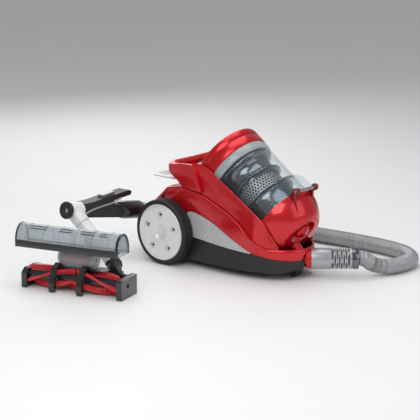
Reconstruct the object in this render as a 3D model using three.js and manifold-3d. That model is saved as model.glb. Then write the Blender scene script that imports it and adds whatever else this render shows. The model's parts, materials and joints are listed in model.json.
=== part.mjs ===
// A canister vacuum cleaner with its hose, grip, wand and powered floor brush.
// Millimetres. +X is the front of the canister, +Y its left side, +Z is up.
import * as THREE from 'three';
import { mergeVertices } from 'three/addons/utils/BufferGeometryUtils.js';
import Module from 'manifold-3d';

const wasm = await Module();
wasm.setup();

// ---- Clearances -------------------------------------------------------------
const GAP = 0.4; // between pieces that rest on each other
const RUN = 1.5; // between pieces that move past each other
const ROUND = 24; // sides of a large turned piece
const FINE = 12; // sides of a small turned piece

// ---- Canister: overall sizes ------------------------------------------------
const BODY_HALF = 106; // half width over the fenders
const NOSE_X = 220; // front of the bumper
const TAIL_X = -205; // back of the tub
const SHOULDER_X = 0; // where the plan starts to taper to the nose
const GROUND = 18; // height of the tub's underside
const TUB_WALL = 3;
const SHELL_WALL = 7; // thickness of a fender
const GRILLE_WALL = 3;
const CRADLE_LAP = 2.3; // how far the cradle's round back would pass the rails
const RAIL_WALL = 4;
const BELT_REAR_Z = 80; // top of the tub beside the grille
const BELT_MID_X = 123;
const BELT_MID_Z = 61;
const BELT_FRONT_Z = 50;
const TUB_BACK_RISE = 18; // top of the tub over the axle
const SPLIT_X = -104; // where the deck ends and the rails start

// ---- Wheels -----------------------------------------------------------------
const WHEEL_R = 82;
const WHEEL_WIDTH = 34;
const HUB_R = 71;
const AXLE_X = -138;
const AXLE_R = 6;
const TUB_BACK_Z = WHEEL_R + TUB_BACK_RISE; // top of the tub between the wheels
const CASTER_X = 173;
const CASTER_R = 13.5;
const CASTER_WIDTH = 18;
const CASTER_TRAIL = 8;
const CASTER_PIN_R = 2.5;

// ---- Dust bin, along its own sloping axis -----------------------------------
const BIN_TILT = THREE.MathUtils.degToRad(35.2); // axis below the horizontal
const BIN_HEAD_X = -44.7; // middle of the lid's top
const BIN_HEAD_Z = 272;
const LID_R = 91;
const LID_H = 48;
const LID_SEAM = 24;
const RING_R = 90;
const RING_H = 22;
const BIN_R = 88;
const BIN_H = 158;
const BIN_WALL = 2.5;
const CUP_H = 66;
const CUP_WALL = 4;
const CUP_LAP = 3; // how far the cup stands out past the clear body
const CUP_END_R = 56;
const BUTTON_R = 20;
const BUTTON_TRAVEL = 4;
const BUTTON_POCKET = 9;
const BUTTON_RISE = 15; // height of the button over the bin's axis
const DUCT_DROP = 31; // depth of the duct's mouth under the bin's axis
const EAR_Y = 34; // half spacing of the cup's hinge ears
const EAR_T = 7;
const EAR_TOP = 116; // height of the ears over the bin's axis
const PIN_R = 4;
const SHROUD_R = 66;
const FLARE_R = 73;
const MESH_R = 62;

// ---- Motor and cord reel ----------------------------------------------------
const MOTOR_R = 44;
const MOTOR_HALF = 48;
const MOTOR_X = -45;
const MOTOR_Z = 82;
const SHAFT_R = 4;
const FAN_R = 40;
const FAN_W = 10;
const REEL_R = 46;
const REEL_X = -145;
const REEL_Z = 92;
const REEL_FROM = 12;
const REEL_TO = 60;
const REEL_AXLE_R = 7;

// ---- Hose -------------------------------------------------------------------
const INLET = new THREE.Vector3(207, 7, 48.5); // mouth of the inlet
const INLET_TURN = 42; // degrees from straight ahead to the left
const DUCT_R = 14;
const COLLAR_R = 25;
const COLLAR_LENGTH = 12;
const CUFF_R = 26;
const CUFF_LENGTH = 100;
const CUFF_END_LENGTH = 16;
const HOSE_R = 19;

// ---- Grip and wand ----------------------------------------------------------
const GRIP_CLEAR = 30; // from the back of the wheel to the grip's foot
const GRIP_FOOT = new THREE.Vector3(AXLE_X - WHEEL_R - GRIP_CLEAR, -100, 115);
const GRIP_HEAD = new THREE.Vector3(GRIP_FOOT.x + 14, -345, 160);
const WAND_FOOT = new THREE.Vector3(-130, -322, 50);
const SOCKET_LENGTH = 78;
const SOCKET_R = 23;
const GRIP_HALF = 17;
const WAND_R = 17.5;
const WAND_WALL = 2;
const WAND_SOCKET = 40; // length of the bend's branch that takes the wand
const SLIDER_TRAVEL = 16;

// ---- Floor brush, in its own frame: X along the roll, +Y to the back --------
const BRUSH_X = -124;
const BRUSH_Y = -440;
const BRUSH_TURN = 16.8; // degrees
const BRUSH_HALF = 137;
const ROLL_R = 26;
const ROLL_CORE_R = 12;
const ROLL_Z = 29;
const ROLL_PIN_R = 5;
const TURBINE_R = 20;
const TURBINE_Z = 78;
const TURBINE_Y = 8;
const TURBINE_HALF = 48;
const HOOD_R = 30;
const HOOD_WALL = 2;

// ---- Materials --------------------------------------------------------------
function material(color, roughness, metalness, opacity = 1) {
  return new THREE.MeshStandardMaterial({ color, roughness, metalness, opacity, transparent: opacity < 1 });
}

const paint = {
  red: material(0xc8141e, 0.25, 0.3),
  redGloss: material(0xd01820, 0.15, 0.1),
  black: material(0x1b1b1d, 0.55, 0),
  rubber: material(0x111111, 0.85, 0),
  white: material(0xe9ebec, 0.35, 0),
  silver: material(0xb4b8bc, 0.35, 0.6),
  grille: material(0xa9adb0, 0.5, 0.4),
  steel: material(0x9a9da1, 0.3, 0.9),
  smoke: material(0x6d7176, 0.3, 0.5),
  clear: material(0xe8f0f4, 0.08, 0, 0.3),
  bristle: material(0xe0121c, 0.8, 0),
  filter: material(0xf0efe8, 0.95, 0),
};

// ---- Geometry helpers -------------------------------------------------------
/** Turns a closed three.js geometry into a manifold solid with outward faces. */
function solidOf(geometry) {
  const bare = geometry.clone();
  bare.deleteAttribute('normal');
  bare.deleteAttribute('uv');
  const merged = mergeVertices(bare, 1e-3);
  const place = merged.attributes.position;
  const faces = [];
  let volume = 0;
  const corner = [new THREE.Vector3(), new THREE.Vector3(), new THREE.Vector3()];
  for (let i = 0; i < merged.index.count; i += 3) {
    const ids = [0, 1, 2].map((k) => merged.index.getX(i + k));
    if (new Set(ids).size < 3) continue;
    faces.push(ids);
    ids.forEach((id, k) => corner[k].fromBufferAttribute(place, id));
    volume += corner[0].dot(corner[1].clone().cross(corner[2]));
  }
  if (volume < 0) faces.forEach((ids) => ids.reverse());
  return new wasm.Manifold(new wasm.Mesh({
    numProp: 3,
    vertProperties: Float32Array.from(place.array),
    triVerts: Uint32Array.from(faces.flat()),
  }));
}

/** Turns a manifold solid back into a three.js geometry. */
function geometryOf(solid) {
  const mesh = solid.getMesh();
  const geometry = new THREE.BufferGeometry();
  geometry.setAttribute('position', new THREE.BufferAttribute(mesh.vertProperties, 3));
  geometry.setIndex(new THREE.BufferAttribute(mesh.triVerts, 1));
  geometry.computeVertexNormals();
  return geometry;
}

function join(first, ...rest) {
  return rest.reduce((whole, piece) => whole.add(piece), first);
}

function cut(first, ...rest) {
  return rest.reduce((whole, piece) => whole.subtract(piece), first);
}

function outline(points) {
  return new THREE.Shape(points.map(([a, b]) => new THREE.Vector2(a, b)));
}

function extruded(shape, depth, curveSegments = 10) {
  return new THREE.ExtrudeGeometry(shape, { depth, bevelEnabled: false, curveSegments });
}

/** A side view in X and Z, made solid from y0 to y1. */
function side(points, y0, y1) {
  const geometry = extruded(outline(points), y1 - y0);
  geometry.rotateX(Math.PI / 2);
  geometry.translate(0, y1, 0);
  return solidOf(geometry);
}

/** A box between two opposite corners. */
function block([x0, y0, z0], [x1, y1, z1]) {
  const geometry = new THREE.BoxGeometry(x1 - x0, y1 - y0, z1 - z0);
  geometry.translate((x0 + x1) / 2, (y0 + y1) / 2, (z0 + z1) / 2);
  return solidOf(geometry);
}

/** A profile of [radius, height] points turned about +Z. */
function turned(points, sides = ROUND) {
  const profile = points.map(([r, z]) => new THREE.Vector2(r, z));
  const geometry = new THREE.LatheGeometry(profile, sides);
  geometry.rotateX(Math.PI / 2);
  return solidOf(geometry);
}

function rod(radius, z0, z1, sides = FINE) {
  return turned([[0, z0], [radius, z0], [radius, z1], [0, z1]], sides);
}

/** A ring whose wall lies between two radii. */
function ring(inner, outer, z0, z1, sides = ROUND) {
  return turned([[inner, z0], [outer, z0], [outer, z1], [inner, z1], [inner, z0]], sides);
}

/** Moves a solid by a three.js matrix. */
function moved(solid, matrix) {
  return solidOf(geometryOf(solid).applyMatrix4(matrix));
}

function shifted(solid, x, y, z) {
  return moved(solid, new THREE.Matrix4().makeTranslation(x, y, z));
}

/** Lays a solid that is turned about +Z along +Y, at a height and a place. */
function crosswise(solid, x, z) {
  return moved(solid, new THREE.Matrix4().makeRotationX(-Math.PI / 2).setPosition(x, 0, z));
}

/** A frame whose +Z points from one place to another, with +X kept level. */
function aimed(from, to) {
  const forward = to.clone().sub(from).normalize();
  const level = new THREE.Vector3(0, 0, 1).cross(forward).normalize();
  const upward = forward.clone().cross(level);
  return new THREE.Matrix4().makeBasis(level, upward, forward).setPosition(from);
}

function mesh(name, solid, look) {
  const made = new THREE.Mesh(geometryOf(solid), look);
  made.name = name;
  return made;
}

function groupAt(matrix, ...children) {
  const group = new THREE.Group();
  group.applyMatrix4(matrix);
  group.add(...children);
  return group;
}

// ---- Shared outlines --------------------------------------------------------
/** The plan of the body, straight at the back and curved to the nose, drawn in by an inset. */
function planShape(inset) {
  const half = BODY_HALF - inset;
  const nose = NOSE_X - inset;
  const fullness = 0.57 * (NOSE_X - SHOULDER_X);
  const cheek = 0.66 * half;
  const shape = new THREE.Shape();
  shape.moveTo(TAIL_X + inset, -half);
  shape.lineTo(SHOULDER_X, -half);
  shape.bezierCurveTo(SHOULDER_X + fullness, -half, nose, -cheek, nose, 0);
  shape.bezierCurveTo(nose, cheek, SHOULDER_X + fullness, half, SHOULDER_X, half);
  shape.lineTo(TAIL_X + inset, half);
  return shape;
}

const ABOVE_ALL = 400;

function planSolid(inset, z0 = 0, z1 = ABOVE_ALL) {
  const geometry = extruded(planShape(inset), z1 - z0);
  geometry.translate(0, 0, z0);
  return solidOf(geometry);
}

/** A wall that follows the plan, between two insets. */
function planWall(outer, inner) {
  return cut(planSolid(outer), planSolid(inner, -1, ABOVE_ALL + 1));
}

const railOut = BODY_HALF - SHELL_WALL - GAP - 0.4;
const railIn = railOut - RAIL_WALL;

/** The plan of a rail: straight past the bin, then drawn in round the cup. */
function railShape(inset) {
  const half = railOut - inset;
  const tip = NOSE_X + 8 - inset;
  const shape = new THREE.Shape();
  shape.moveTo(SPLIT_X - 20, -half);
  shape.lineTo(BELT_MID_X + 7, -half);
  shape.bezierCurveTo(BELT_MID_X + 52, -half, tip - 13, -0.82 * half, tip, 0);
  shape.bezierCurveTo(tip - 13, 0.82 * half, BELT_MID_X + 52, half, BELT_MID_X + 7, half);
  shape.lineTo(SPLIT_X - 20, half);
  return shape;
}

function railSolid(inset) {
  return solidOf(extruded(railShape(inset), ABOVE_ALL));
}

/** Height of the line where the black tub meets the red and silver shell. */
function belt(x) {
  if (x > BELT_MID_X) {
    const share = Math.min(1, (x - BELT_MID_X) / (NOSE_X - BELT_MID_X));
    return BELT_MID_Z + (BELT_FRONT_Z - BELT_MID_Z) * Math.sin(share * Math.PI / 2);
  }
  return BELT_MID_Z + (BELT_REAR_Z - BELT_MID_Z) * (BELT_MID_X - x) / (BELT_MID_X - SPLIT_X);
}

const FRONT_JOINT_X = 152; // where a fender meets the bumper
const BUMPER_TOP_Z = 78;
const frontBelt = [BELT_MID_X, FRONT_JOINT_X, 180, NOSE_X];
const RIDGE = [[-146, 156], [-92, 195], [-48, 191], [-6, 177], [80, 138], [110, 112]];
const ARCH = [[-103, 122], [-67, 141], [-6, 127], [58, 95]];

/** The same points, moved up or down. */
function lifted(points, rise) {
  return points.map(([x, z]) => [x, z + rise]);
}

const binAxis = new THREE.Matrix4().makeRotationY(Math.PI / 2 + BIN_TILT);
const binFrame = binAxis.clone().setPosition(BIN_HEAD_X, 0, BIN_HEAD_Z);

// Stations down the bin's axis, from the top of the lid.
const ringFrom = LID_H;
const bodyFrom = ringFrom + RING_H;
const cupFrom = bodyFrom + BIN_H;
const cupEnd = cupFrom + CUP_H;

// Radii of the bin that other pieces fit.
const cupR = BIN_R + CUP_LAP;
const binWidest = Math.max(LID_R, RING_R, cupR);
const ringIn = Math.min(BIN_R - BIN_WALL - 3, LID_R - 6);
const cradleOut = railIn + CRADLE_LAP;

/** The cup's outer wall as [radius, station], drawn in by an inset. */
function cupProfile(inset, endInset = inset) {
  const bulge = [[1, 0], [0.99, 0.2], [0.93, 0.45], [0.8, 0.75]];
  const wall = bulge.map(([share, along]) => [cupR * share - inset, cupFrom + CUP_H * along]);
  return [...wall, [CUP_END_R - inset, cupEnd - endInset]];
}

/** Everything the bin fills when it sits in the body, grown by a clearance. */
function binSpace(clearance) {
  const start = -30;
  const wall = cupProfile(-clearance);
  const profile = [[0, start], [binWidest + clearance, start], ...wall, [0, cupEnd + clearance]];
  return moved(turned(profile), binFrame);
}

const inletAim = new THREE.Vector3(1, 0, 0).applyAxisAngle(
  new THREE.Vector3(0, 0, 1),
  THREE.MathUtils.degToRad(INLET_TURN),
);

function alongInlet(distance) {
  return INLET.clone().addScaledVector(inletAim, distance);
}

const inletFrame = aimed(INLET, alongInlet(1));

/** The round space round the inlet's duct, its collar and the cuff. */
function inletSpace(clearance) {
  const mouth = rod(Math.max(COLLAR_R, CUFF_R) + clearance, -3, CUFF_LENGTH, ROUND);
  const duct = rod(DUCT_R + clearance, -24, 0, ROUND);
  return moved(join(mouth, duct), inletFrame);
}

// ---- Canister body ----------------------------------------------------------
const casterRecessR = CASTER_TRAIL + CASTER_R + 3.5;
const casterRecessZ = 2 * CASTER_R + 5;
const RECESS_WALL = 1.5;
const tubFloor = GROUND + TUB_WALL;

function chassis() {
  const crown = frontBelt.map((x) => [x, belt(x)]);
  const profile = [
    [TAIL_X, GROUND + 24], [TAIL_X + 18, GROUND], [NOSE_X - 34, GROUND], [NOSE_X, GROUND + 14],
    ...crown.reverse(), [SPLIT_X, belt(SPLIT_X)], [SPLIT_X, TUB_BACK_Z], [TAIL_X, TUB_BACK_Z],
  ];
  const tub = planSolid(0.6).intersect(side(profile, -BODY_HALF, BODY_HALF));
  const hollow = planSolid(0.6 + TUB_WALL, tubFloor);
  const hollowed = cut(tub, hollow);
  const stands = [REEL_FROM, REEL_TO].map((y, i) => {
    const from = i === 0 ? y - RUN - 4 : y + RUN;
    return block([REEL_X - 12, from, tubFloor - 1], [REEL_X + 12, from + 4, REEL_Z + 14]);
  });
  const bosses = [-1, 1].map((s) => {
    const inner = s * (BODY_HALF - 0.6 - TUB_WALL / 2);
    return block(
      [AXLE_X - 14, Math.min(inner, s * (BODY_HALF - 18)), WHEEL_R - 14],
      [AXLE_X + 14, Math.max(inner, s * (BODY_HALF - 18)), WHEEL_R + 14],
    );
  });
  const recessWall = shifted(rod(casterRecessR + RECESS_WALL, GROUND, casterRecessZ + RECESS_WALL, ROUND), CASTER_X, 0, 0);
  const inner = planSolid(2, 0);
  const kingpin = shifted(rod(4 + GAP, 0, casterRecessZ + 8), CASTER_X, 0, 0);
  const recess = shifted(rod(casterRecessR, 0, casterRecessZ, ROUND), CASTER_X, 0, 0);
  const skids = [-1, 1].map((s) => block([96, s * 46 - 9, GROUND - 5], [120, s * 46 + 9, GROUND + 1]));
  return cut(
    join(hollowed, ...stands, ...bosses, recessWall.intersect(inner), ...skids),
    recess,
    kingpin,
    inletSpace(RUN),
    crosswise(rod(AXLE_R + GAP, -BODY_HALF - 1, BODY_HALF + 1), AXLE_X, WHEEL_R),
    crosswise(rod(REEL_AXLE_R + GAP, REEL_FROM - 9, REEL_TO + 9), REEL_X, REEL_Z),
    glandHole(),
  );
}

const GLAND_Y = 40;
const GLAND_Z = 62;
const GLAND_R = 9;

function glandHole() {
  const along = new THREE.Matrix4().makeRotationY(Math.PI / 2).setPosition(TAIL_X - 2, GLAND_Y, GLAND_Z);
  return moved(rod(GLAND_R + GAP, 0, 12), along);
}

function cordGland() {
  const along = new THREE.Matrix4().makeRotationY(Math.PI / 2).setPosition(TAIL_X, GLAND_Y, GLAND_Z);
  const profile = [[5, -4], [GLAND_R + 4, -4], [GLAND_R + 4, -GAP], [GLAND_R, -GAP], [GLAND_R, 6], [5, 6], [5, -4]];
  return moved(turned(profile, FINE), along);
}

function onSide(solid, s) {
  const half = block([-ABOVE_ALL, Math.min(0, s * ABOVE_ALL), -1], [ABOVE_ALL, Math.max(0, s * ABOVE_ALL), ABOVE_ALL]);
  return solid.intersect(half);
}

function fender(s) {
  const profile = [
    ...RIDGE, [FRONT_JOINT_X + 6, BUMPER_TOP_Z], [FRONT_JOINT_X, belt(FRONT_JOINT_X) + GAP],
    [BELT_MID_X, BELT_MID_Z + GAP], ...ARCH.toReversed(),
  ];
  const wall = planWall(0, SHELL_WALL);
  const shell = wall.intersect(side(profile, -BODY_HALF, BODY_HALF));
  return onSide(cut(shell, binSpace(cradleOut - binWidest + GAP)), s);
}

function grille(s) {
  const tipX = BELT_MID_X - 7;
  const last = ARCH[ARCH.length - 1];
  const share = (tipX - last[0]) / (BELT_MID_X - last[0]);
  const tipZ = last[1] + (BELT_MID_Z - last[1]) * share;
  const profile = [
    [ARCH[0][0], belt(ARCH[0][0]) + GAP], ...lifted(ARCH, -GAP), [tipX, tipZ - GAP], [tipX, belt(tipX) + GAP],
  ];
  const wall = planWall(1.5, 1.5 + GRILLE_WALL);
  return onSide(wall.intersect(side(profile, -BODY_HALF, BODY_HALF)), s);
}

const RAIL_STEP_X = 8; // ahead of this a rail rides on the fender's ridge

function ridgeAt(x) {
  const points = [...RIDGE, [FRONT_JOINT_X + 6, BUMPER_TOP_Z]];
  const next = points.findIndex(([px]) => px >= x);
  const [[x0, z0], [x1, z1]] = [points[next - 1], points[next]];
  return z0 + (z1 - z0) * (x - x0) / (x1 - x0);
}

function rail(s) {
  const foot = RIDGE.filter(([x]) => x > RAIL_STEP_X).toReversed();
  const profile = [
    [SPLIT_X + GAP, 196], [-97, 253], [-52, 262], [-27, 258], [8, 239], [112, 177], [159, 148], [168, 131],
    [176, 111], [180, BUMPER_TOP_Z + 2], [FRONT_JOINT_X + 6, BUMPER_TOP_Z + GAP], ...lifted(foot, GAP),
    [RAIL_STEP_X, ridgeAt(RAIL_STEP_X) + GAP], [RAIL_STEP_X, tubFloor + GAP], [SPLIT_X + GAP, tubFloor + GAP],
  ];
  const wall = cut(railSolid(0), railSolid(RAIL_WALL));
  const plate = wall.intersect(side(profile, -BODY_HALF, BODY_HALF));
  return onSide(cut(plate, binSpace(RUN)), s);
}

function rearDeck() {
  const outer = [
    [TAIL_X, TUB_BACK_Z + GAP], [TAIL_X, 146], [-162, 187], [SPLIT_X, 197], [SPLIT_X, TUB_BACK_Z + GAP],
  ];
  const inner = [
    [TAIL_X + TUB_WALL, TUB_BACK_Z - 1], [TAIL_X + TUB_WALL, 144], [-161, 183], [SPLIT_X - TUB_WALL, 193],
    [SPLIT_X - TUB_WALL, TUB_BACK_Z - 1],
  ];
  const shell = cut(side(outer, -railOut, railOut), side(inner, -railOut + TUB_WALL, railOut - TUB_WALL));
  const reelWay = block([SPLIT_X - 20, -railIn, TUB_BACK_Z - 1], [SPLIT_X + 1, railIn, REEL_Z + REEL_R + 12]);
  const posts = [-1, 1].flatMap((s) => [0.45, 0.86].map((share) => {
    const y = s * share * pedalOut;
    return block([PEDAL_PIVOT_X - 6, y - 4, 185], [PEDAL_PIVOT_X + 6, y + 4, PEDAL_Z + 3]);
  }));
  const pivots = crosswise(rod(PIN_R + 0.5, -railOut, railOut), PEDAL_PIVOT_X, PEDAL_Z);
  return cut(join(cut(shell, reelWay), ...posts), pivots, binSpace(RUN));
}

function bumper() {
  const lower = [FRONT_JOINT_X, 180, NOSE_X].map((x) => [x + GAP, belt(x) + GAP]);
  const profile = [...lower, [NOSE_X + 2, BELT_FRONT_Z + GAP], [NOSE_X + 2, BUMPER_TOP_Z],
    [FRONT_JOINT_X + 6 + GAP, BUMPER_TOP_Z]];
  const band = planWall(0, SHELL_WALL).intersect(side(profile, -BODY_HALF, BODY_HALF));
  return cut(band, inletSpace(RUN));
}

const HANDLE_Z = 228;
const HANDLE_BAR = 26;
const HANDLE_X = -168;

function carryHandle() {
  const profile = [
    [HANDLE_X, HANDLE_Z + 5], [HANDLE_X + 4, HANDLE_Z + 17], [HANDLE_X + 16, HANDLE_Z + 22], [-98, 257],
    [-62, 258], [-34, 200], [-34, 193], [-60, 196], [-92, 199.5], [-114, 220], [HANDLE_X + HANDLE_BAR, HANDLE_Z],
    [HANDLE_X + 8, HANDLE_Z],
  ];
  const loop = side(profile, -BODY_HALF, BODY_HALF);
  const grasp = block([HANDLE_X + HANDLE_BAR, -handleIn, 0], [ABOVE_ALL, handleIn, ABOVE_ALL]);
  const railWay = block([SPLIT_X - 2, -railOut - GAP, 0], [ABOVE_ALL, railOut + GAP, ABOVE_ALL]);
  return cut(loop, grasp, railWay);
}

const handleIn = railIn - 1;

function binCradle() {
  const trough = binWidest + RUN;
  const shell = ring(trough, cradleOut, LID_H + RUN, cupFrom, ROUND);
  const lower = block([10, -railIn + GAP, 0], [trough + 10, railIn - GAP, cupFrom + 1]);
  const saddle = moved(shell.intersect(lower), binFrame);
  const leg = block([40, -58, tubFloor + GAP], [50, 58, 140]);
  const bed = moved(rod(trough + 2, -40, cupEnd, ROUND), binFrame);
  return join(saddle, cut(leg, bed));
}

// ---- Motor, fan, reel, exhaust ----------------------------------------------
function motorCan() {
  const bore = SHAFT_R + 1;
  const profile = [
    [bore, -MOTOR_HALF], [0.6 * MOTOR_R, -MOTOR_HALF], [MOTOR_R, -MOTOR_HALF + 12],
    [MOTOR_R, MOTOR_HALF - 4], [MOTOR_R - 6, MOTOR_HALF], [bore, MOTOR_HALF], [bore, -MOTOR_HALF],
  ];
  return crosswise(turned(profile, 24), MOTOR_X, MOTOR_Z);
}

function motorSaddle() {
  const reach = 0.6 * MOTOR_HALF;
  const foot = tubFloor + GAP;
  const pads = [-reach, reach].map((y) => block([MOTOR_X - 34, y - 6, foot], [MOTOR_X + 34, y + 6, MOTOR_Z - 14]));
  const plate = block([MOTOR_X - 34, -reach, foot], [MOTOR_X + 34, reach, foot + 4]);
  return cut(join(plate, ...pads), crosswise(rod(MOTOR_R + GAP, -80, 80, 24), MOTOR_X, MOTOR_Z));
}

function fanImpeller() {
  const from = MOTOR_HALF + RUN;
  const profile = [
    [0, -MOTOR_HALF - 6], [SHAFT_R, -MOTOR_HALF - 6], [SHAFT_R, from], [FAN_R, from],
    [FAN_R, from + 3], [12, from + FAN_W], [0, from + FAN_W],
  ];
  return crosswise(turned(profile, FINE), MOTOR_X, MOTOR_Z);
}

function exhaustFilter() {
  return block([-70, -railIn + 2, tubFloor + 20], [26, -railIn + 22, 108]);
}

function reelDrum() {
  const flange = 3;
  const bore = REEL_AXLE_R + 1;
  const core = 18;
  const profile = [
    [bore, REEL_FROM], [REEL_R, REEL_FROM], [REEL_R, REEL_FROM + flange], [core, REEL_FROM + flange],
    [core, REEL_TO - flange], [REEL_R, REEL_TO - flange], [REEL_R, REEL_TO], [bore, REEL_TO], [bore, REEL_FROM],
  ];
  return crosswise(turned(profile, 24), REEL_X, REEL_Z);
}

function reelAxle() {
  return crosswise(rod(REEL_AXLE_R, REEL_FROM - RUN - 4, REEL_TO + RUN + 4), REEL_X, REEL_Z);
}

// ---- Wheels -----------------------------------------------------------------
const wheelFrom = BODY_HALF + RUN;

/** Puts a piece that is turned about +Z on the wheel's axle, with its +Z facing out. */
function wheelFrame(s) {
  return new THREE.Matrix4().makeRotationX(s > 0 ? -Math.PI / 2 : Math.PI / 2).setPosition(AXLE_X, 0, WHEEL_R);
}

function tyre(s) {
  const to = wheelFrom + WHEEL_WIDTH;
  const profile = [
    [HUB_R + GAP, wheelFrom + 2], [WHEEL_R - 5, wheelFrom], [WHEEL_R, wheelFrom + 6], [WHEEL_R, to - 7],
    [WHEEL_R - 5, to], [HUB_R + GAP, to - 2], [HUB_R + GAP, wheelFrom + 2],
  ];
  return moved(turned(profile, 40), wheelFrame(s));
}

function hub(s) {
  const to = wheelFrom + WHEEL_WIDTH;
  const dish = 17;
  const profile = [
    [0, to - 4], [dish - 5, to - 3], [dish, to + 1], [0.66 * HUB_R, to + 0.5], [HUB_R, to - 4],
    [HUB_R, wheelFrom + 4], [HUB_R - 4, wheelFrom + 4], [HUB_R - 4, to - 8], [AXLE_R + 6, to - 8],
    [AXLE_R + 6, wheelFrom], [AXLE_R + 0.6, wheelFrom], [AXLE_R + 0.6, to - 10], [0, to - 10],
  ];
  return moved(turned(profile.reverse(), 40), wheelFrame(s));
}

function axle(s) {
  return moved(rod(AXLE_R, BODY_HALF - 24, wheelFrom + WHEEL_WIDTH - 12), wheelFrame(s));
}

const casterAxleX = CASTER_X + CASTER_TRAIL;

function casterFork() {
  const half = CASTER_WIDTH / 2 + RUN;
  const top = casterRecessZ - 1;
  const crown = shifted(rod(16, top - 2.5, top, FINE), CASTER_X, 0, 0);
  const stem = shifted(rod(4, top - 1, casterRecessZ + 7), CASTER_X, 0, 0);
  const cheeks = [-1, 1].map((s) => {
    const y0 = s > 0 ? half : -half - 2.5;
    return side([
      [CASTER_X - 6, top - 1], [casterAxleX - 4, CASTER_R - 5], [casterAxleX + 4, CASTER_R - 5],
      [CASTER_X + 12, top - 1],
    ], y0, y0 + 2.5);
  });
  const pin = crosswise(rod(CASTER_PIN_R, -half - 1, half + 1, 12), casterAxleX, CASTER_R);
  return join(crown, stem, ...cheeks, pin);
}

function casterWheel() {
  const half = CASTER_WIDTH / 2;
  const bore = CASTER_PIN_R + 0.5;
  const profile = [
    [bore, -half], [CASTER_R - 2, -half], [CASTER_R, -half + 2], [CASTER_R, half - 2], [CASTER_R - 2, half],
    [bore, half], [bore, -half],
  ];
  return crosswise(turned(profile, 24), casterAxleX, CASTER_R);
}

// ---- Pedals -----------------------------------------------------------------
const PEDAL_PIVOT_X = -124;
const PEDAL_BACK_X = -212;
const PEDAL_Z = 208;
const PEDAL_T = 4;
const PEDAL_IN = 38;
const pedalOut = handleIn - RUN;

function pedal(s) {
  const [y0, y1] = s > 0 ? [PEDAL_IN, pedalOut] : [-pedalOut, -PEDAL_IN];
  const profile = [
    [PEDAL_PIVOT_X + 7, PEDAL_Z + 2], [PEDAL_PIVOT_X - 8, PEDAL_Z + PEDAL_T + 2], [PEDAL_BACK_X + 6, PEDAL_Z + 5],
    [PEDAL_BACK_X, PEDAL_Z + 2], [PEDAL_BACK_X + 6, PEDAL_Z], [PEDAL_PIVOT_X - 8, PEDAL_Z + 1],
    [PEDAL_PIVOT_X - 4, PEDAL_Z - 3.5], [PEDAL_PIVOT_X + 4, PEDAL_Z - 3.5],
  ];
  const plate = side(profile, y0, y1);
  const pin = crosswise(rod(PIN_R, y0, y1, 12), PEDAL_PIVOT_X, PEDAL_Z);
  const slots = [0.45, 0.86].map((share) => {
    const y = s * share * pedalOut;
    return block([PEDAL_PIVOT_X - 9, y - 5, PEDAL_Z - 10], [PEDAL_PIVOT_X + 9, y + 5, PEDAL_Z + 10]);
  });
  return join(cut(plate, ...slots), pin);
}

// ---- Dust bin ---------------------------------------------------------------
function lidCap() {
  const wall = 3;
  return turned([
    [0, -5], [0.6 * LID_R, -3], [LID_R - 6, 1], [LID_R, 5], [LID_R, LID_SEAM - GAP],
    [LID_R - wall, LID_SEAM - GAP], [LID_R - wall, 8], [0, 4],
  ], 28);
}

function lidBand() {
  return ring(LID_R - 3, LID_R, LID_SEAM, LID_H - GAP, 28);
}

function preFilter() {
  return rod(LID_R - 8, LID_SEAM - 6, LID_H - 14, ROUND);
}

function binRing() {
  return ring(ringIn, RING_R, ringFrom, bodyFrom - GAP, 28);
}

function binGasket() {
  return ring(ringIn - 10.5, ringIn - GAP, ringFrom, ringFrom + 5, 28);
}

/** How far a round wall stands from the axis at a distance to one side of it. */
function standoff(radius, aside) {
  return Math.sqrt(radius * radius - aside * aside);
}

/** The clear arch between the hinge ears, in the bin's frame, where -X points up. */
function hingeArch() {
  const half = EAR_Y - EAR_T / 2 - RUN;
  const base = standoff(BIN_R - 1, half);
  const points = [
    [-base, cupFrom - 46], [-EAR_TOP + 8, cupFrom - 22], [-EAR_TOP, cupFrom + 2],
    [-EAR_TOP, cupFrom + 16], [-base, cupFrom + 16],
  ];
  return side(points, -half, half);
}

const pinStation = cupFrom + 10;
const pinHeight = EAR_TOP - 8;

function hingePinBore(clearance, half) {
  return crosswise(rod(PIN_R + clearance, -half, half, 12), -pinHeight, pinStation);
}

function binBody() {
  const wall = ring(BIN_R - BIN_WALL, BIN_R, bodyFrom, cupFrom - GAP, 28);
  const inside = rod(BIN_R - BIN_WALL, bodyFrom - 1, cupFrom, 28);
  const cupWay = rod(cupR + RUN, cupFrom - GAP, cupEnd, 28);
  return cut(join(wall, hingeArch()), inside, cupWay, hingePinBore(0.5, EAR_Y));
}

function binCup() {
  const outer = cupProfile(0);
  const inner = cupProfile(CUP_WALL, BUTTON_POCKET + CUP_WALL).toReversed();
  const endZ = cupEnd - BUTTON_POCKET - CUP_WALL;
  const lip = turned([...outer, [0, cupEnd], [0, endZ], ...inner, outer[0]], 28);
  const pocket = shifted(rod(BUTTON_R + RUN, cupEnd - BUTTON_POCKET, cupEnd + 1, ROUND), -BUTTON_RISE, 0, 0);
  const seat = standoff(cupR - 2, EAR_Y + EAR_T / 2);
  const toe = standoff(0.92 * cupR - 2, EAR_Y + EAR_T / 2);
  const ears = [-1, 1].map((s) => {
    const y0 = s * EAR_Y - EAR_T / 2;
    return side([
      [-seat, cupFrom + 1], [-EAR_TOP + 4, cupFrom + 3], [-EAR_TOP, cupFrom + 8], [-EAR_TOP, cupFrom + 14],
      [-toe, cupFrom + 34],
    ], y0, y0 + EAR_T);
  });
  return cut(join(lip, ...ears), pocket, hingePinBore(GAP, EAR_Y + EAR_T));
}

function hingePin() {
  return hingePinBore(0, EAR_Y + EAR_T / 2 + 3);
}

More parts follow.
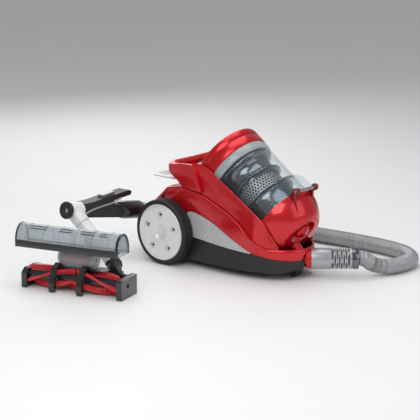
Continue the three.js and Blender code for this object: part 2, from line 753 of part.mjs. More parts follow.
function cupButton() {
  const back = cupEnd - BUTTON_POCKET + BUTTON_TRAVEL + GAP;
  const dome = turned([
    [0, back], [BUTTON_R, back], [BUTTON_R, cupEnd + 1], [0.75 * BUTTON_R, cupEnd + 5], [0, cupEnd + 7],
  ], ROUND);
  return shifted(dome, -BUTTON_RISE, 0, 0);
}

const flareFrom = bodyFrom + 50;
const meshFrom = bodyFrom + 58;
const coneFrom = bodyFrom + 96;
const CYCLONE_WALL = 3;

function cycloneShroud() {
  const t = CYCLONE_WALL;
  const rim = BIN_R - BIN_WALL - 4;
  return turned([
    [SHROUD_R - t, bodyFrom - 8], [rim, bodyFrom - 8], [rim, bodyFrom - 4], [SHROUD_R, bodyFrom - 4],
    [SHROUD_R, flareFrom - 4], [FLARE_R, flareFrom + 3], [FLARE_R, flareFrom + 6], [SHROUD_R - t, meshFrom - GAP],
    [SHROUD_R - t, bodyFrom - 8],
  ]);
}

function cycloneMesh() {
  return ring(MESH_R - CYCLONE_WALL, MESH_R, meshFrom, coneFrom - GAP);
}

function cycloneCone() {
  const t = CYCLONE_WALL;
  const to = cupFrom - 2;
  return turned([
    [SHROUD_R - t, coneFrom], [SHROUD_R, coneFrom], [SHROUD_R + 4, to], [SHROUD_R + 4 - t, to],
    [SHROUD_R - t, coneFrom],
  ]);
}

// ---- Inlet, cuff, hose ------------------------------------------------------
function inletElbow() {
  const cupMouth = new THREE.Vector3(DUCT_DROP, 0, cupEnd).applyMatrix4(binFrame);
  const corner = alongInlet(-6);
  const upper = moved(rod(DUCT_R, -8, cupMouth.distanceTo(corner)), aimed(cupMouth, corner));
  const trimmed = cut(upper, binSpace(RUN));
  const knee = solidOf(new THREE.SphereGeometry(DUCT_R, FINE, 8).translate(corner.x, corner.y, corner.z));
  const lower = moved(rod(DUCT_R, -6, 4), inletFrame);
  const collar = moved(rod(COLLAR_R, 1, COLLAR_LENGTH, 24), inletFrame);
  return join(trimmed, knee, lower, collar);
}

const cuffFrom = COLLAR_LENGTH + GAP;
const cuffTo = cuffFrom + CUFF_LENGTH;
const cuffEnd = cuffTo + CUFF_END_LENGTH;

function hoseCuff() {
  const ribFrom = cuffFrom + 0.38 * CUFF_LENGTH;
  const ribs = 4;
  const pitch = (cuffTo - ribFrom) / ribs;
  const grooves = [];
  for (let i = 0; i < ribs; i += 1) {
    const at = ribFrom + i * pitch;
    grooves.push([CUFF_R, at + 0.5 * pitch], [CUFF_R - 2.5, at + 0.55 * pitch], [CUFF_R - 2.5, at + 0.95 * pitch]);
  }
  const wall = [[CUFF_R, cuffFrom], ...grooves, [CUFF_R, cuffTo]];
  return turned([[0, cuffFrom], ...wall, [0, cuffTo]], 20);
}

function cuffCollar() {
  return rod(CUFF_R + 0.5, cuffTo + GAP, cuffEnd, 24);
}

// Middle line of the hose as it lies, from just past the cuff to the grip.
const HOSE_ROUTE = [
  [321, 126, 31], [341, 162, 21], [350, 210, 19.6], [336, 262, 19.6], [292, 296, 19.6], [225, 308, 19.6],
  [138, 306, 19.6], [40, 294, 19.6], [-40, 282, 19.6], [-120, 264, 19.6], [-190, 228, 19.6], [-240, 170, 19.6],
  [-262, 100, 20], [-268, 30, 34], [-263, -35, 68],
];

function hose() {
  const start = alongInlet(cuffEnd + GAP);
  const lead = alongInlet(cuffEnd + 12);
  const grip = GRIP_FOOT.clone();
  const gripLead = grip.clone().addScaledVector(gripAim, -14);
  const route = HOSE_ROUTE.map((p) => new THREE.Vector3(...p));
  const end = grip.clone().addScaledVector(gripAim, -GAP);
  const path = new THREE.CatmullRomCurve3([start, lead, ...route, gripLead, end], false, 'centripetal');
  const section = new THREE.Shape();
  section.absarc(0, 0, HOSE_R, 0, 2 * Math.PI, false);
  return solidOf(new THREE.ExtrudeGeometry(section, { steps: 42, extrudePath: path, curveSegments: 5 }));
}

// ---- Grip and wand ----------------------------------------------------------
const gripAim = GRIP_HEAD.clone().sub(GRIP_FOOT).normalize();
const gripFrame = aimed(GRIP_FOOT, GRIP_HEAD);
const gripLength = GRIP_FOOT.distanceTo(GRIP_HEAD);
const headFrom = gripLength - 24;
const headTo = gripLength + 18;

/** A side view of the grip: [distance from the hose, height], across its width. */
function gripSide(points, half) {
  const geometry = extruded(outline(points.map(([a, h]) => [-a, h])), 2 * half);
  geometry.translate(0, 0, -half);
  geometry.rotateY(Math.PI / 2);
  return solidOf(geometry);
}

function gripSocket() {
  return turned([
    [0, 0], [SOCKET_R - 2, 0], [SOCKET_R, 5], [SOCKET_R, SOCKET_LENGTH - 14], [SOCKET_R - 4, SOCKET_LENGTH],
    [0, SOCKET_LENGTH],
  ], 20);
}

const TONGUE_BACK = 66;
const TONGUE_TOP = 52;
const tongueSlope = Math.atan2(TONGUE_TOP - 22, headFrom - 28 - TONGUE_BACK);

function gripShell() {
  const from = SOCKET_LENGTH + GAP;
  const wandWay = moved(rod(WAND_R + 2 + GAP, -8, 60, 20), wandInGrip);
  const shell = gripSide([
    [from, -17], [headFrom - GAP, -16], [headFrom - GAP, 18], [headFrom - 28, 22], [TONGUE_BACK, TONGUE_TOP],
    [TONGUE_BACK - 10, TONGUE_TOP - 3], [TONGUE_BACK - 8, TONGUE_TOP - 12], [from + 40, 26], [from + 36, 16],
    [from, 15],
  ], GRIP_HALF);
  return cut(shell, wandWay);
}

function suctionSlider() {
  const pad = block([-9, GAP, -22], [9, 6, 22]);
  const middle = (TONGUE_BACK + headFrom - 28) / 2;
  const height = (TONGUE_TOP + 22) / 2;
  const lean = new THREE.Matrix4().makeRotationX(tongueSlope).setPosition(0, height, middle);
  return moved(pad, lean);
}

function wandHead() {
  const hubSolid = rod(WAND_R + 3, headFrom, headTo, 20);
  const wandLine = moved(rod(WAND_R + 2, 0, WAND_SOCKET, 20), wandInGrip);
  const capWay = block([-60, -60, headTo], [60, 60, headTo + 60]);
  return cut(join(hubSolid, wandLine), capWay);
}

function wandCap() {
  return ring(6, WAND_R + 4, headTo + GAP, headTo + 7, 20);
}

const wandFrame = aimed(GRIP_HEAD, WAND_FOOT);
const wandInGrip = gripFrame.clone().invert().multiply(wandFrame);
const wandLength = GRIP_HEAD.distanceTo(WAND_FOOT);

function wandTube() {
  return ring(WAND_R - WAND_WALL, WAND_R, WAND_SOCKET + GAP, wandLength, 20);
}

function wandLatch() {
  return cut(
    block([-7, -WAND_R - 9, wandLength * 0.55 - 9], [7, -WAND_R + 6, wandLength * 0.55 + 9]),
    rod(WAND_R + GAP, 0, wandLength, 24),
  );
}

// ---- Floor brush ------------------------------------------------------------
const brushFrame = new THREE.Matrix4()
  .makeRotationZ(THREE.MathUtils.degToRad(BRUSH_TURN))
  .setPosition(BRUSH_X, BRUSH_Y, 0);
const lengthwise = new THREE.Matrix4().makeRotationY(Math.PI / 2);

/** Lays a solid that is turned about +Z along the brush's X. */
function alongBrush(solid, y, z) {
  return moved(solid, lengthwise.clone().setPosition(0, y, z));
}

/** A view along the brush's X, made solid between two places on it. */
function across(points, x0, x1) {
  const geometry = extruded(outline(points), x1 - x0);
  geometry.rotateY(Math.PI / 2);
  geometry.rotateX(Math.PI / 2);
  geometry.translate(x0, 0, 0);
  return solidOf(geometry);
}

const ARM_X = [-48, 26];
const ARM_T = 14;
const END_T = 14;
const ROLL_Y = -6;
const BACK_Y = 40;

function brushBase() {
  const back = across([[24, 6], [BACK_Y, 6], [BACK_Y, 34], [30, 46], [20, 46], [24, 30]], -BRUSH_HALF, BRUSH_HALF);
  const rightEnd = across([[-38, 0], [BACK_Y, 0], [BACK_Y, 48], [-34, 48], [-38, 44]], BRUSH_HALF - END_T, BRUSH_HALF);
  const leftEnd = across([[-30, 0], [BACK_Y, 0], [BACK_Y, 44], [-16, 46], [-30, 36]], -BRUSH_HALF, -BRUSH_HALF + END_T);
  const arms = ARM_X.map((x) => {
    return across([
      [26, 36], [26, 57], [-6, 66], [-26, 58], [-44, 30], [-46, 12], [-42, 0], [-34, 0], [-30, 30], [-6, 60],
    ], x - ARM_T / 2, x + ARM_T / 2);
  });
  const rollWay = alongBrush(rod(ROLL_R + RUN, -BRUSH_HALF + END_T, BRUSH_HALF - END_T, 24), ROLL_Y, ROLL_Z);
  const pins = alongBrush(rod(ROLL_PIN_R + 0.6, -BRUSH_HALF - 1, BRUSH_HALF + 1), ROLL_Y, ROLL_Z);
  const foot = across([[-10, 55], [24, 44], [34, 44], [34, 54], [14, 57.5], [-10, 57.5]], ARM_X[0], 84);
  const turbineBed = alongBrush(rod(TURBINE_R + GAP, -TURBINE_HALF - 8, TURBINE_HALF + 30, 24), TURBINE_Y, TURBINE_Z);
  return cut(join(back, rightEnd, leftEnd, foot, brushLugs(), ...arms), rollWay, pins, turbineBed);
}

function brushRoll() {
  const half = BRUSH_HALF - END_T - RUN;
  const pin = BRUSH_HALF - 3;
  return alongBrush(turned([
    [0, -pin], [ROLL_PIN_R, -pin], [ROLL_PIN_R, -half], [ROLL_CORE_R, -half], [ROLL_R, -half + 6],
    [ROLL_R, half - 6], [ROLL_CORE_R, half], [ROLL_PIN_R, half], [ROLL_PIN_R, pin], [0, pin],
  ], 20), ROLL_Y, ROLL_Z);
}

function turbineHousing() {
  return alongBrush(ring(TURBINE_R - 2.5, TURBINE_R, -TURBINE_HALF, TURBINE_HALF, 24), TURBINE_Y, TURBINE_Z);
}

function turbineRotor() {
  const half = TURBINE_HALF - 12;
  const drum = turned([
    [0, -half - 10], [3, -half - 10], [3, -half], [10, -half], [10, half], [3, half], [3, half + 10], [0, half + 10],
  ], FINE);
  const blades = [0, 1, 2].map((i) => {
    const blade = block([-15, -1, -half + 4], [15, 1, half - 4]);
    return moved(blade, new THREE.Matrix4().makeRotationZ(i * Math.PI / 3));
  });
  return alongBrush(join(drum, ...blades), TURBINE_Y, TURBINE_Z);
}

function turbineBearing(s) {
  const inner = TURBINE_HALF - 7;
  const seat = TURBINE_R - 2.5 - GAP;
  const span = s > 0 ? [inner, TURBINE_HALF - 1] : [-TURBINE_HALF + 1, -inner];
  return alongBrush(ring(3.6, seat, span[0], span[1], FINE), TURBINE_Y, TURBINE_Z);
}

const NECK_X = 88;
const HINGE_Y = BACK_Y + RUN + 12;
const HINGE_Z = 34;
const LUG_SPREAD = 25;
const LUG_T = 8;
const HEEL_R = 12;
const HEEL_HALF = 19;
const HINGE_PIN_R = 5;

function brushNeck() {
  const foot = new THREE.Vector3(NECK_X - 26, HINGE_Y, HINGE_Z);
  const wandEnd = WAND_FOOT.clone().applyMatrix4(brushFrame.clone().invert());
  const wandAim = WAND_FOOT.clone().sub(GRIP_HEAD).normalize().transformDirection(brushFrame.clone().invert());
  const throat = wandEnd.clone().addScaledVector(wandAim, 16);
  const knee = solidOf(new THREE.SphereGeometry(WAND_R + 1, FINE, 8).translate(throat.x, throat.y, throat.z));
  const socket = moved(rod(WAND_R + 1, GAP, 18, 20), aimed(wandEnd, throat));
  const arm = moved(rod(WAND_R - 1, 0, throat.distanceTo(foot), 20), aimed(foot, throat));
  const heel = alongBrush(rod(HEEL_R, foot.x - HEEL_HALF, foot.x + HEEL_HALF, 20), foot.y, foot.z);
  const pinBore = alongBrush(rod(HINGE_PIN_R + 0.6, foot.x - HEEL_HALF - 1, foot.x + HEEL_HALF + 1), foot.y, foot.z);
  const below = block([-300, -300, -60], [300, 300, 4]);
  const baseWay = block([-300, -300, 0], [300, HINGE_Y - HEEL_R / 2, 300]);
  const lugWays = [-1, 1].map((s) => {
    const inner = foot.x + s * (LUG_SPREAD - LUG_T / 2 - RUN);
    return block(
      [Math.min(inner, inner + s * 30), BACK_Y, 0],
      [Math.max(inner, inner + s * 30), HINGE_Y + 12, 70],
    );
  });
  const stem = cut(join(arm, knee, socket), below, baseWay, ...lugWays);
  return cut(join(stem, heel), pinBore);
}

/** The brush's side of the tilting joint: two lugs and the pin between them. */
function brushLugs() {
  const middle = NECK_X - 26;
  const lugs = [-1, 1].map((s) => {
    const x0 = middle + s * LUG_SPREAD - LUG_T / 2;
    return across([[BACK_Y - 4, 22], [HINGE_Y + 8, 24], [HINGE_Y + 10, 34], [HINGE_Y + 6, 44], [BACK_Y - 4, 32]],
      x0, x0 + LUG_T);
  });
  const pin = alongBrush(rod(HINGE_PIN_R, middle - LUG_SPREAD - 5, middle + LUG_SPREAD + 5), HINGE_Y, HINGE_Z);
  return join(...lugs, pin);
}

function brushPost() {
  const top = hoodBottom - GAP;
  const foot = block([NECK_X - 14, 18, 54 + GAP], [NECK_X + 2, 30, top]);
  const head = block([NECK_X - 20, 4, top - 6], [NECK_X + 8, 34, top]);
  const shelf = block([NECK_X - 14, 14, 46 + GAP], [NECK_X + 14, 30, 60]);
  const bed = alongBrush(rod(TURBINE_R + 1, -TURBINE_HALF - 8, TURBINE_HALF + 30, 24), TURBINE_Y, TURBINE_Z);
  return cut(join(foot, head, shelf), brushFootSpace(), bed);
}

/** The space of the ledge that carries the turbine, grown by the resting gap. */
function brushFootSpace() {
  return block([ARM_X[0], -12, 40], [84 + GAP, 34 + GAP, 57.5 + GAP]);
}

const hoodBottom = TURBINE_Z + TURBINE_R + GAP;
const HOOD_X = -16;
const HOOD_Y = 2;
const HOOD_H = 52;

function brushHood() {
  const arc = 8;
  const dome = (r, h, base) => {
    const points = [[HOOD_Y + r, base], [HOOD_Y - r, base]];
    for (let i = 0; i <= arc; i += 1) {
      const a = Math.PI - (i / arc) * Math.PI;
      points.push([HOOD_Y + r * Math.cos(a), base + 14 + (h - 14) * Math.sin(a)]);
    }
    return points;
  };
  const outer = across(dome(HOOD_R, HOOD_H, hoodBottom), HOOD_X - BRUSH_HALF, HOOD_X + BRUSH_HALF);
  const inner = across(
    dome(HOOD_R - HOOD_WALL, HOOD_H - HOOD_WALL, hoodBottom + 3),
    HOOD_X - BRUSH_HALF + HOOD_WALL,
    HOOD_X + BRUSH_HALF - HOOD_WALL,
  );
  const slot = block([HOOD_X - 120, HOOD_Y - 20, hoodBottom - 1], [HOOD_X + 120, HOOD_Y - 8, hoodBottom + 6]);
  return cut(outer, inner, slot);
}

// ---- The whole object -------------------------------------------------------
const LEFT = 1;
const RIGHT = -1;
const vacuum = new THREE.Group();

vacuum.add(
  mesh('chassis', chassis(), paint.black),
  mesh('right_fender', fender(RIGHT), paint.red),
  mesh('left_fender', fender(LEFT), paint.red),
  mesh('right_rail', rail(RIGHT), paint.redGloss),
  mesh('left_rail', rail(LEFT), paint.redGloss),
  mesh('rear_deck', rearDeck(), paint.red),
  mesh('front_bumper', bumper(), paint.redGloss),
  mesh('carry_handle', carryHandle(), paint.red),
  mesh('bin_cradle', binCradle(), paint.black),
  mesh('right_grille', grille(RIGHT), paint.grille),
  mesh('left_grille', grille(LEFT), paint.grille),
  mesh('cord_gland', cordGland(), paint.rubber),
  mesh('motor_can', motorCan(), paint.steel),
  mesh('motor_saddle', motorSaddle(), paint.rubber),
  mesh('fan_impeller', fanImpeller(), paint.white),
  mesh('exhaust_filter', exhaustFilter(), paint.filter),
  mesh('reel_drum', reelDrum(), paint.black),
  mesh('reel_axle', reelAxle(), paint.steel),
  mesh('right_axle', axle(RIGHT), paint.steel),
  mesh('left_axle', axle(LEFT), paint.steel),
  mesh('right_tyre', tyre(RIGHT), paint.rubber),
  mesh('left_tyre', tyre(LEFT), paint.rubber),
  mesh('right_hub', hub(RIGHT), paint.white),
  mesh('left_hub', hub(LEFT), paint.white),
  mesh('caster_fork', casterFork(), paint.black),
  mesh('caster_wheel', casterWheel(), paint.rubber),
  mesh('right_pedal', pedal(RIGHT), paint.white),
  mesh('left_pedal', pedal(LEFT), paint.white),
  mesh('inlet_elbow', inletElbow(), paint.redGloss),
);

vacuum.add(groupAt(
  binFrame,
  mesh('lid_cap', lidCap(), paint.red),
  mesh('lid_band', lidBand(), paint.red),
  mesh('pre_filter', preFilter(), paint.filter),
  mesh('bin_ring', binRing(), paint.silver),
  mesh('bin_gasket', binGasket(), paint.rubber),
  mesh('bin_body', binBody(), paint.clear),
  mesh('cyclone_shroud', cycloneShroud(), paint.smoke),
  mesh('cyclone_mesh', cycloneMesh(), paint.steel),
  mesh('cyclone_cone', cycloneCone(), paint.smoke),
  mesh('bin_cup', binCup(), paint.redGloss),
  mesh('cup_hinge_pin', hingePin(), paint.steel),
  mesh('cup_button', cupButton(), paint.redGloss),
));

vacuum.add(groupAt(
  inletFrame,
  mesh('hose_cuff', hoseCuff(), paint.silver),
  mesh('cuff_collar', cuffCollar(), paint.silver),
));

vacuum.add(groupAt(
  gripFrame,
  mesh('grip_socket', gripSocket(), paint.black),
  mesh('grip_shell', gripShell(), paint.black),
  mesh('suction_slider', suctionSlider(), paint.silver),
  mesh('wand_head', wandHead(), paint.white),
  mesh('wand_cap', wandCap(), paint.black),
));

vacuum.add(groupAt(
  wandFrame,
  mesh('wand_tube', wandTube(), paint.white),
  mesh('wand_latch', wandLatch(), paint.black),
));

vacuum.add(groupAt(
  brushFrame,
  mesh('brush_neck', brushNeck(), paint.black),
  mesh('brush_base', brushBase(), paint.black),
  mesh('brush_roll', brushRoll(), paint.bristle),
  mesh('turbine_housing', turbineHousing(), paint.clear),
  mesh('turbine_rotor', turbineRotor(), paint.redGloss),
  mesh('right_bearing', turbineBearing(RIGHT), paint.silver),
  mesh('left_bearing', turbineBearing(LEFT), paint.silver),
  mesh('brush_post', brushPost(), paint.black),
  mesh('brush_hood', brushHood(), paint.clear),
));

// The origin is on the floor, under the middle of everything but the hose.
const extent = new THREE.Box3().setFromObject(vacuum, true);
vacuum.add(mesh('hose', hose(), paint.silver));
vacuum.position.set(-(extent.min.x + extent.max.x) / 2, -(extent.min.y + extent.max.y) / 2, -extent.min.z);

export default vacuum;
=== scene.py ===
"""A canister vacuum cleaner with its hose, grip, wand and floor brush, dressed for a studio view."""

import json
import logging
import math
from dataclasses import dataclass
from enum import Enum
from typing import Callable, Iterable, Sequence

import bmesh
import bpy
from mathutils import Matrix, Vector

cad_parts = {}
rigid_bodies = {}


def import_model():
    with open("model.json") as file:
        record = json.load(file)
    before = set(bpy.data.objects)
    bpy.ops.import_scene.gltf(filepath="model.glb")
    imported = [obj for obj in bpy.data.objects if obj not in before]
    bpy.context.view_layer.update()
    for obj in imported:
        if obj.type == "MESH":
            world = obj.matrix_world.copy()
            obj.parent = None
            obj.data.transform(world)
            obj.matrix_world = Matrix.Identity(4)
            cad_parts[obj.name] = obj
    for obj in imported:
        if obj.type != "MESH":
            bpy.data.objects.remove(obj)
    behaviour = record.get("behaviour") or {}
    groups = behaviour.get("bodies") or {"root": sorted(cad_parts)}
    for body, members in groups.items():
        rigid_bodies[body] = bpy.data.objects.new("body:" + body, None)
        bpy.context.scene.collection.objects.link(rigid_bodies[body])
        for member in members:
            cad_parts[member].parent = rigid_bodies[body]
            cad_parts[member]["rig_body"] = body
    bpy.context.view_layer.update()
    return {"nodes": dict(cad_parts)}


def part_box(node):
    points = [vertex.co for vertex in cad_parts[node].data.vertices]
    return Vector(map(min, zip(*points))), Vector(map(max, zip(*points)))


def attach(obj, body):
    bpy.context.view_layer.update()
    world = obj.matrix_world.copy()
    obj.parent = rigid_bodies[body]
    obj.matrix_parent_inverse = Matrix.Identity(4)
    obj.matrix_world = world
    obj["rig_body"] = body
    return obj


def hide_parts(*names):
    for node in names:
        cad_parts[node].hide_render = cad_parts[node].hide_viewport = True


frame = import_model()
MM = 0.001
LOG = logging.getLogger("vacuum")
Point = Sequence[float]


# ---- Places ------------------------------------------------------------------
AXLE_X = -138.0
WHEEL_R = 82.0
NOSE_X = 220.0
RAIL_HALF = 98.2
FOOT_TURN_X = 124.0
FOOT_NOSE_X = 172.0
FOOT_INSET = 3.0
BELT_FRONT = (123.0, 61.0)
BELT_BACK = (-104.0, 80.0)
BELT_DROP = 11.0
BELT_KICK = 20.0
BELT_KICK_RUN = 6.0


def body_origin() -> Vector:
    """Finds the middle of the canister's plan on the floor, from its two tyres.

    Returns:
        The place, in metres.
    """
    right_low, right_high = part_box("right_tyre")
    left_low, left_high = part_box("left_tyre")
    x = (right_low[0] + right_high[0]) / 2 - AXLE_X * MM
    y = (right_low[1] + left_high[1]) / 2
    return Vector((x, y, 0.0))


TO_ROW = Matrix.Translation(body_origin()) @ Matrix.Scale(MM, 4)
BIN_TILT = math.radians(35.2)
BIN = Matrix.Translation((-44.7, 0, 272)) @ Matrix.Rotation(math.pi / 2 + BIN_TILT, 4, "Y")
BRUSH = Matrix.Translation((-124, -440, 0)) @ Matrix.Rotation(math.radians(16.8), 4, "Z")


def aimed(start: Point, end: Point) -> Matrix:
    """Makes a frame whose +Z points from one place to another, with +X level.

    Args:
        start: Where the frame sits, in millimetres.
        end: What its +Z points at.

    Returns:
        The frame as a matrix.
    """
    forward = (Vector(end) - Vector(start)).normalized()
    level = Vector((0, 0, 1)).cross(forward).normalized()
    upward = forward.cross(level)
    turn = Matrix((level, upward, forward)).transposed().to_4x4()
    return Matrix.Translation(Vector(start)) @ turn


INLET_AIM = Vector((math.cos(math.radians(42)), math.sin(math.radians(42)), 0))
INLET_AT = Vector((207, 7, 48.5))
INLET = aimed(INLET_AT, INLET_AT + INLET_AIM)
GRIP_FOOT = Vector((-250, -100, 115))
GRIP_HEAD = Vector((-236, -345, 160))
GRIP = aimed(GRIP_FOOT, GRIP_HEAD)


@dataclass(frozen=True)
class Track:
    """A smooth curve of height against distance, through a few knots."""

    knots: tuple[tuple[float, float], ...]

    def __call__(self, x: float) -> float:
        """Gives the height at a distance, held level past either end.

        Args:
            x: The distance.

        Returns:
            The height.
        """
        points = self.knots
        if x <= points[0][0]:
            return points[0][1]
        if x >= points[-1][0]:
            return points[-1][1]
        i = next(k for k in range(1, len(points)) if points[k][0] >= x)
        (x0, z0), (x1, z1) = points[i - 1], points[i]
        t = (x - x0) / (x1 - x0)
        m0, m1 = self._slope(i - 1) * (x1 - x0), self._slope(i) * (x1 - x0)
        a, b = 2 * t**3 - 3 * t**2 + 1, t**3 - 2 * t**2 + t
        c, d = -2 * t**3 + 3 * t**2, t**3 - t**2
        return a * z0 + b * m0 + c * z1 + d * m1

    def _slope(self, i: int) -> float:
        """Gives a knot's slope, level at a peak so that the curve never overshoots.

        Args:
            i: The knot's number.

        Returns:
            Height gained for each unit of distance.
        """
        points = self.knots
        if i in (0, len(points) - 1):
            j = 1 if i == 0 else i
            return (points[j][1] - points[j - 1][1]) / (points[j][0] - points[j - 1][0])
        before = (points[i][1] - points[i - 1][1]) / (points[i][0] - points[i - 1][0])
        after = (points[i + 1][1] - points[i][1]) / (points[i + 1][0] - points[i][0])
        return 0.0 if before * after <= 0 else 2 * before * after / (before + after)


@dataclass(frozen=True)
class PlanCurve:
    """The half width of the body in plan: straight, then curved in to the nose."""

    half: float = 106.0
    start: float = 0.0
    lead: float = 125.4
    cheek: float = 0.66
    nose: float = NOSE_X

    def point(self, t: float) -> tuple[float, float]:
        """Gives a point of the curved front, from 0 at its start to 1 at the nose.

        Args:
            t: How far along the curve.

        Returns:
            The distance along the body and the half width.
        """
        a, b, c, d = (1 - t) ** 3, 3 * (1 - t) ** 2 * t, 3 * (1 - t) * t**2, t**3
        x = a * self.start + b * (self.start + self.lead) + (c + d) * self.nose
        return x, (a + b) * self.half + c * self.cheek * self.half

    def __call__(self, x: float) -> float:
        """Gives the half width at a distance along the body.

        Args:
            x: The distance along the body.

        Returns:
            The half width.
        """
        if x <= self.start:
            return self.half
        low, high = 0.0, 1.0
        for _ in range(30):
            middle = (low + high) / 2
            low, high = (middle, high) if self.point(middle)[0] < x else (low, middle)
        return self.point(low)[1]


PLAN = PlanCurve()
RAIL_PLAN = PlanCurve(half=RAIL_HALF, start=130.0, lead=45.0, cheek=0.82, nose=226.0)
RIDGE = Track(((-146, 156), (-120, 180), (-92, 195), (-48, 191), (-6, 177), (80, 138), (110, 112), (158, 78)))
ARCH = Track(((-146, 152), (-103, 122), (-67, 141), (-6, 127), (58, 95), (123, 61.4)))
RAIL_TOP = Track((
    (-100, 250), (-97, 252.5), (-52, 262), (-27, 258), (8, 239), (112, 177), (148, 154.5), (162, 142),
    (170, 127), (175, 111), (178.5, 95), (180, 83),
))


def belt(x: float) -> float:
    """Gives the height of the line where the black tub meets the shells above it.

    Args:
        x: The distance along the body.

    Returns:
        The height, in millimetres.
    """
    front_x, front_z = BELT_FRONT
    back_x, back_z = BELT_BACK
    if x > front_x:
        share = min(1.0, (x - front_x) / (NOSE_X - front_x))
        return front_z - BELT_DROP * math.sin(share * math.pi / 2)
    if x < back_x:
        return back_z + BELT_KICK * min(1.0, (back_x - x) / BELT_KICK_RUN)
    return front_z + (back_z - front_z) * (front_x - x) / (front_x - back_x)


def rail_foot(x: float) -> float:
    """Gives how far out a rail's foot stands: upright beside the bin, then in towards the nose.

    Args:
        x: The distance along the body.

    Returns:
        The distance from the middle, in millimetres.
    """
    if x <= FOOT_TURN_X:
        return RAIL_HALF
    if x >= FOOT_NOSE_X:
        return PLAN(x) - FOOT_INSET
    share = (x - FOOT_TURN_X) / (FOOT_NOSE_X - FOOT_TURN_X)
    share = share * share * (3 - 2 * share)
    return RAIL_HALF + (PLAN(FOOT_NOSE_X) - FOOT_INSET - RAIL_HALF) * share


def spread(low: float, high: float, count: int) -> list[float]:
    """Gives evenly spaced numbers from one to another, both included."""
    return [low + (high - low) * i / (count - 1) for i in range(count)]


# ---- Materials ----------------------------------------------------------------
Colour = tuple[float, float, float]
HEX_ROW = 0.866


class Value:
    """A shader number that Python expressions can be written with."""

    def __init__(self, shader: "Shader", socket: bpy.types.NodeSocket) -> None:
        """Keeps the shader and the socket that the number comes out of."""
        self.shader = shader
        self.socket = socket

    def _with(self, operation: str, first: object, second: object) -> "Value":
        """Adds one Math node."""
        made = self.shader.node("ShaderNodeMath", {"operation": operation}, {0: first, 1: second})
        return Value(self.shader, made.outputs[0])

    def __add__(self, other: object) -> "Value":
        """Adds."""
        return self._with("ADD", self, other)

    __radd__ = __add__

    def __mul__(self, other: object) -> "Value":
        """Multiplies."""
        return self._with("MULTIPLY", self, other)

    __rmul__ = __mul__

    def __sub__(self, other: object) -> "Value":
        """Takes away."""
        return self._with("SUBTRACT", self, other)

    def __rsub__(self, other: object) -> "Value":
        """Takes this number away from another."""
        return self._with("SUBTRACT", other, self)

    def __pow__(self, other: object) -> "Value":
        """Raises to a power."""
        return self._with("POWER", self, other)

    def __gt__(self, edge: object) -> "Value":
        """Gives 1 where the number is over an edge, and 0 elsewhere."""
        return self._with("GREATER_THAN", self, edge)

    def __mod__(self, step: object) -> "Value":
        """Gives what is left over after whole steps, never negative."""
        return self._with("FLOORED_MODULO", self, step)

    def floor(self) -> "Value":
        """Rounds down."""
        return self._with("FLOOR", self, 0.0)


class Shader:
    """Builds one material's nodes."""

    def __init__(self, name: str) -> None:
        """Starts an empty material of that name.

        Args:
            name: The material's name.
        """
        self.material = bpy.data.materials.new(name)
        self.material.use_nodes = True
        self.tree = self.material.node_tree
        self.tree.nodes.clear()

    def node(self, kind: str, settings: dict | None = None, sockets: dict | None = None) -> bpy.types.Node:
        """Adds a node, sets it up, then feeds its sockets.

        Args:
            kind: The node's type.
            settings: Its own properties, such as a Math node's operation.
            sockets: What each input holds or is linked to.

        Returns:
            The node.
        """
        made = self.tree.nodes.new(kind)
        for key, value in (settings or {}).items():
            setattr(made, key, value)
        for key, value in (sockets or {}).items():
            source = value.socket if isinstance(value, Value) else value
            if isinstance(source, bpy.types.NodeSocket):
                self.tree.links.new(source, made.inputs[key])
            else:
                made.inputs[key].default_value = source
        return made

    def coordinates(self, wrapped: bool = False) -> bpy.types.NodeSocket:
        """Gives the piece's own place in metres, or its wrapped-on coordinates."""
        made = self.node("ShaderNodeTexCoord")
        return made.outputs["UV" if wrapped else "Object"]

    def axes(self, wrapped: bool = False) -> tuple[Value, Value, Value]:
        """Gives the coordinates as three numbers."""
        made = self.node("ShaderNodeSeparateXYZ", None, {0: self.coordinates(wrapped)})
        return tuple(Value(self, made.outputs[i]) for i in range(3))

    def noise(self, scale: float, detail: float = 3.0, roughness: float = 0.55) -> Value:
        """Gives soft noise of a size, as a number about one half."""
        sockets = {"Vector": self.coordinates(), "Scale": scale, "Detail": detail, "Roughness": roughness}
        return Value(self, self.node("ShaderNodeTexNoise", None, sockets).outputs["Fac"])

    def cells(self, scale: float) -> Value:
        """Gives the distance to the nearest of many scattered points."""
        made = self.node("ShaderNodeTexVoronoi", None, {"Vector": self.coordinates(), "Scale": scale})
        return Value(self, made.outputs["Distance"])

    def blend(self, share: Value, first: Colour, second: Colour) -> bpy.types.NodeSocket:
        """Mixes two colours by a number.

        Args:
            share: How much of the second there is.
            first: One colour.
            second: The other.

        Returns:
            The colour socket.
        """
        settings = {"data_type": "RGBA"}
        sockets = {0: share, 6: (*first, 1.0), 7: (*second, 1.0)}
        return self.node("ShaderNodeMix", settings, sockets).outputs[2]

    def bump(self, height: Value, depth: float, strength: float = 1.0) -> bpy.types.NodeSocket:
        """Turns a height into a normal, the depth in metres."""
        sockets = {"Height": height, "Distance": depth, "Strength": strength}
        return self.node("ShaderNodeBump", None, sockets).outputs["Normal"]

    def surface(self, sockets: dict) -> bpy.types.Node:
        """Adds the main surface shader."""
        return self.node("ShaderNodeBsdfPrincipled", None, sockets)

    def done(self, shader: bpy.types.Node) -> bpy.types.Material:
        """Links the last shader to the output, and gives the material."""
        self.node("ShaderNodeOutputMaterial", None, {"Surface": shader.outputs[0]})
        return self.material


def tone(colour: Colour, share: float) -> Colour:
    """Makes a colour darker or lighter by a share."""
    return tuple(min(1.0, c * share) for c in colour)


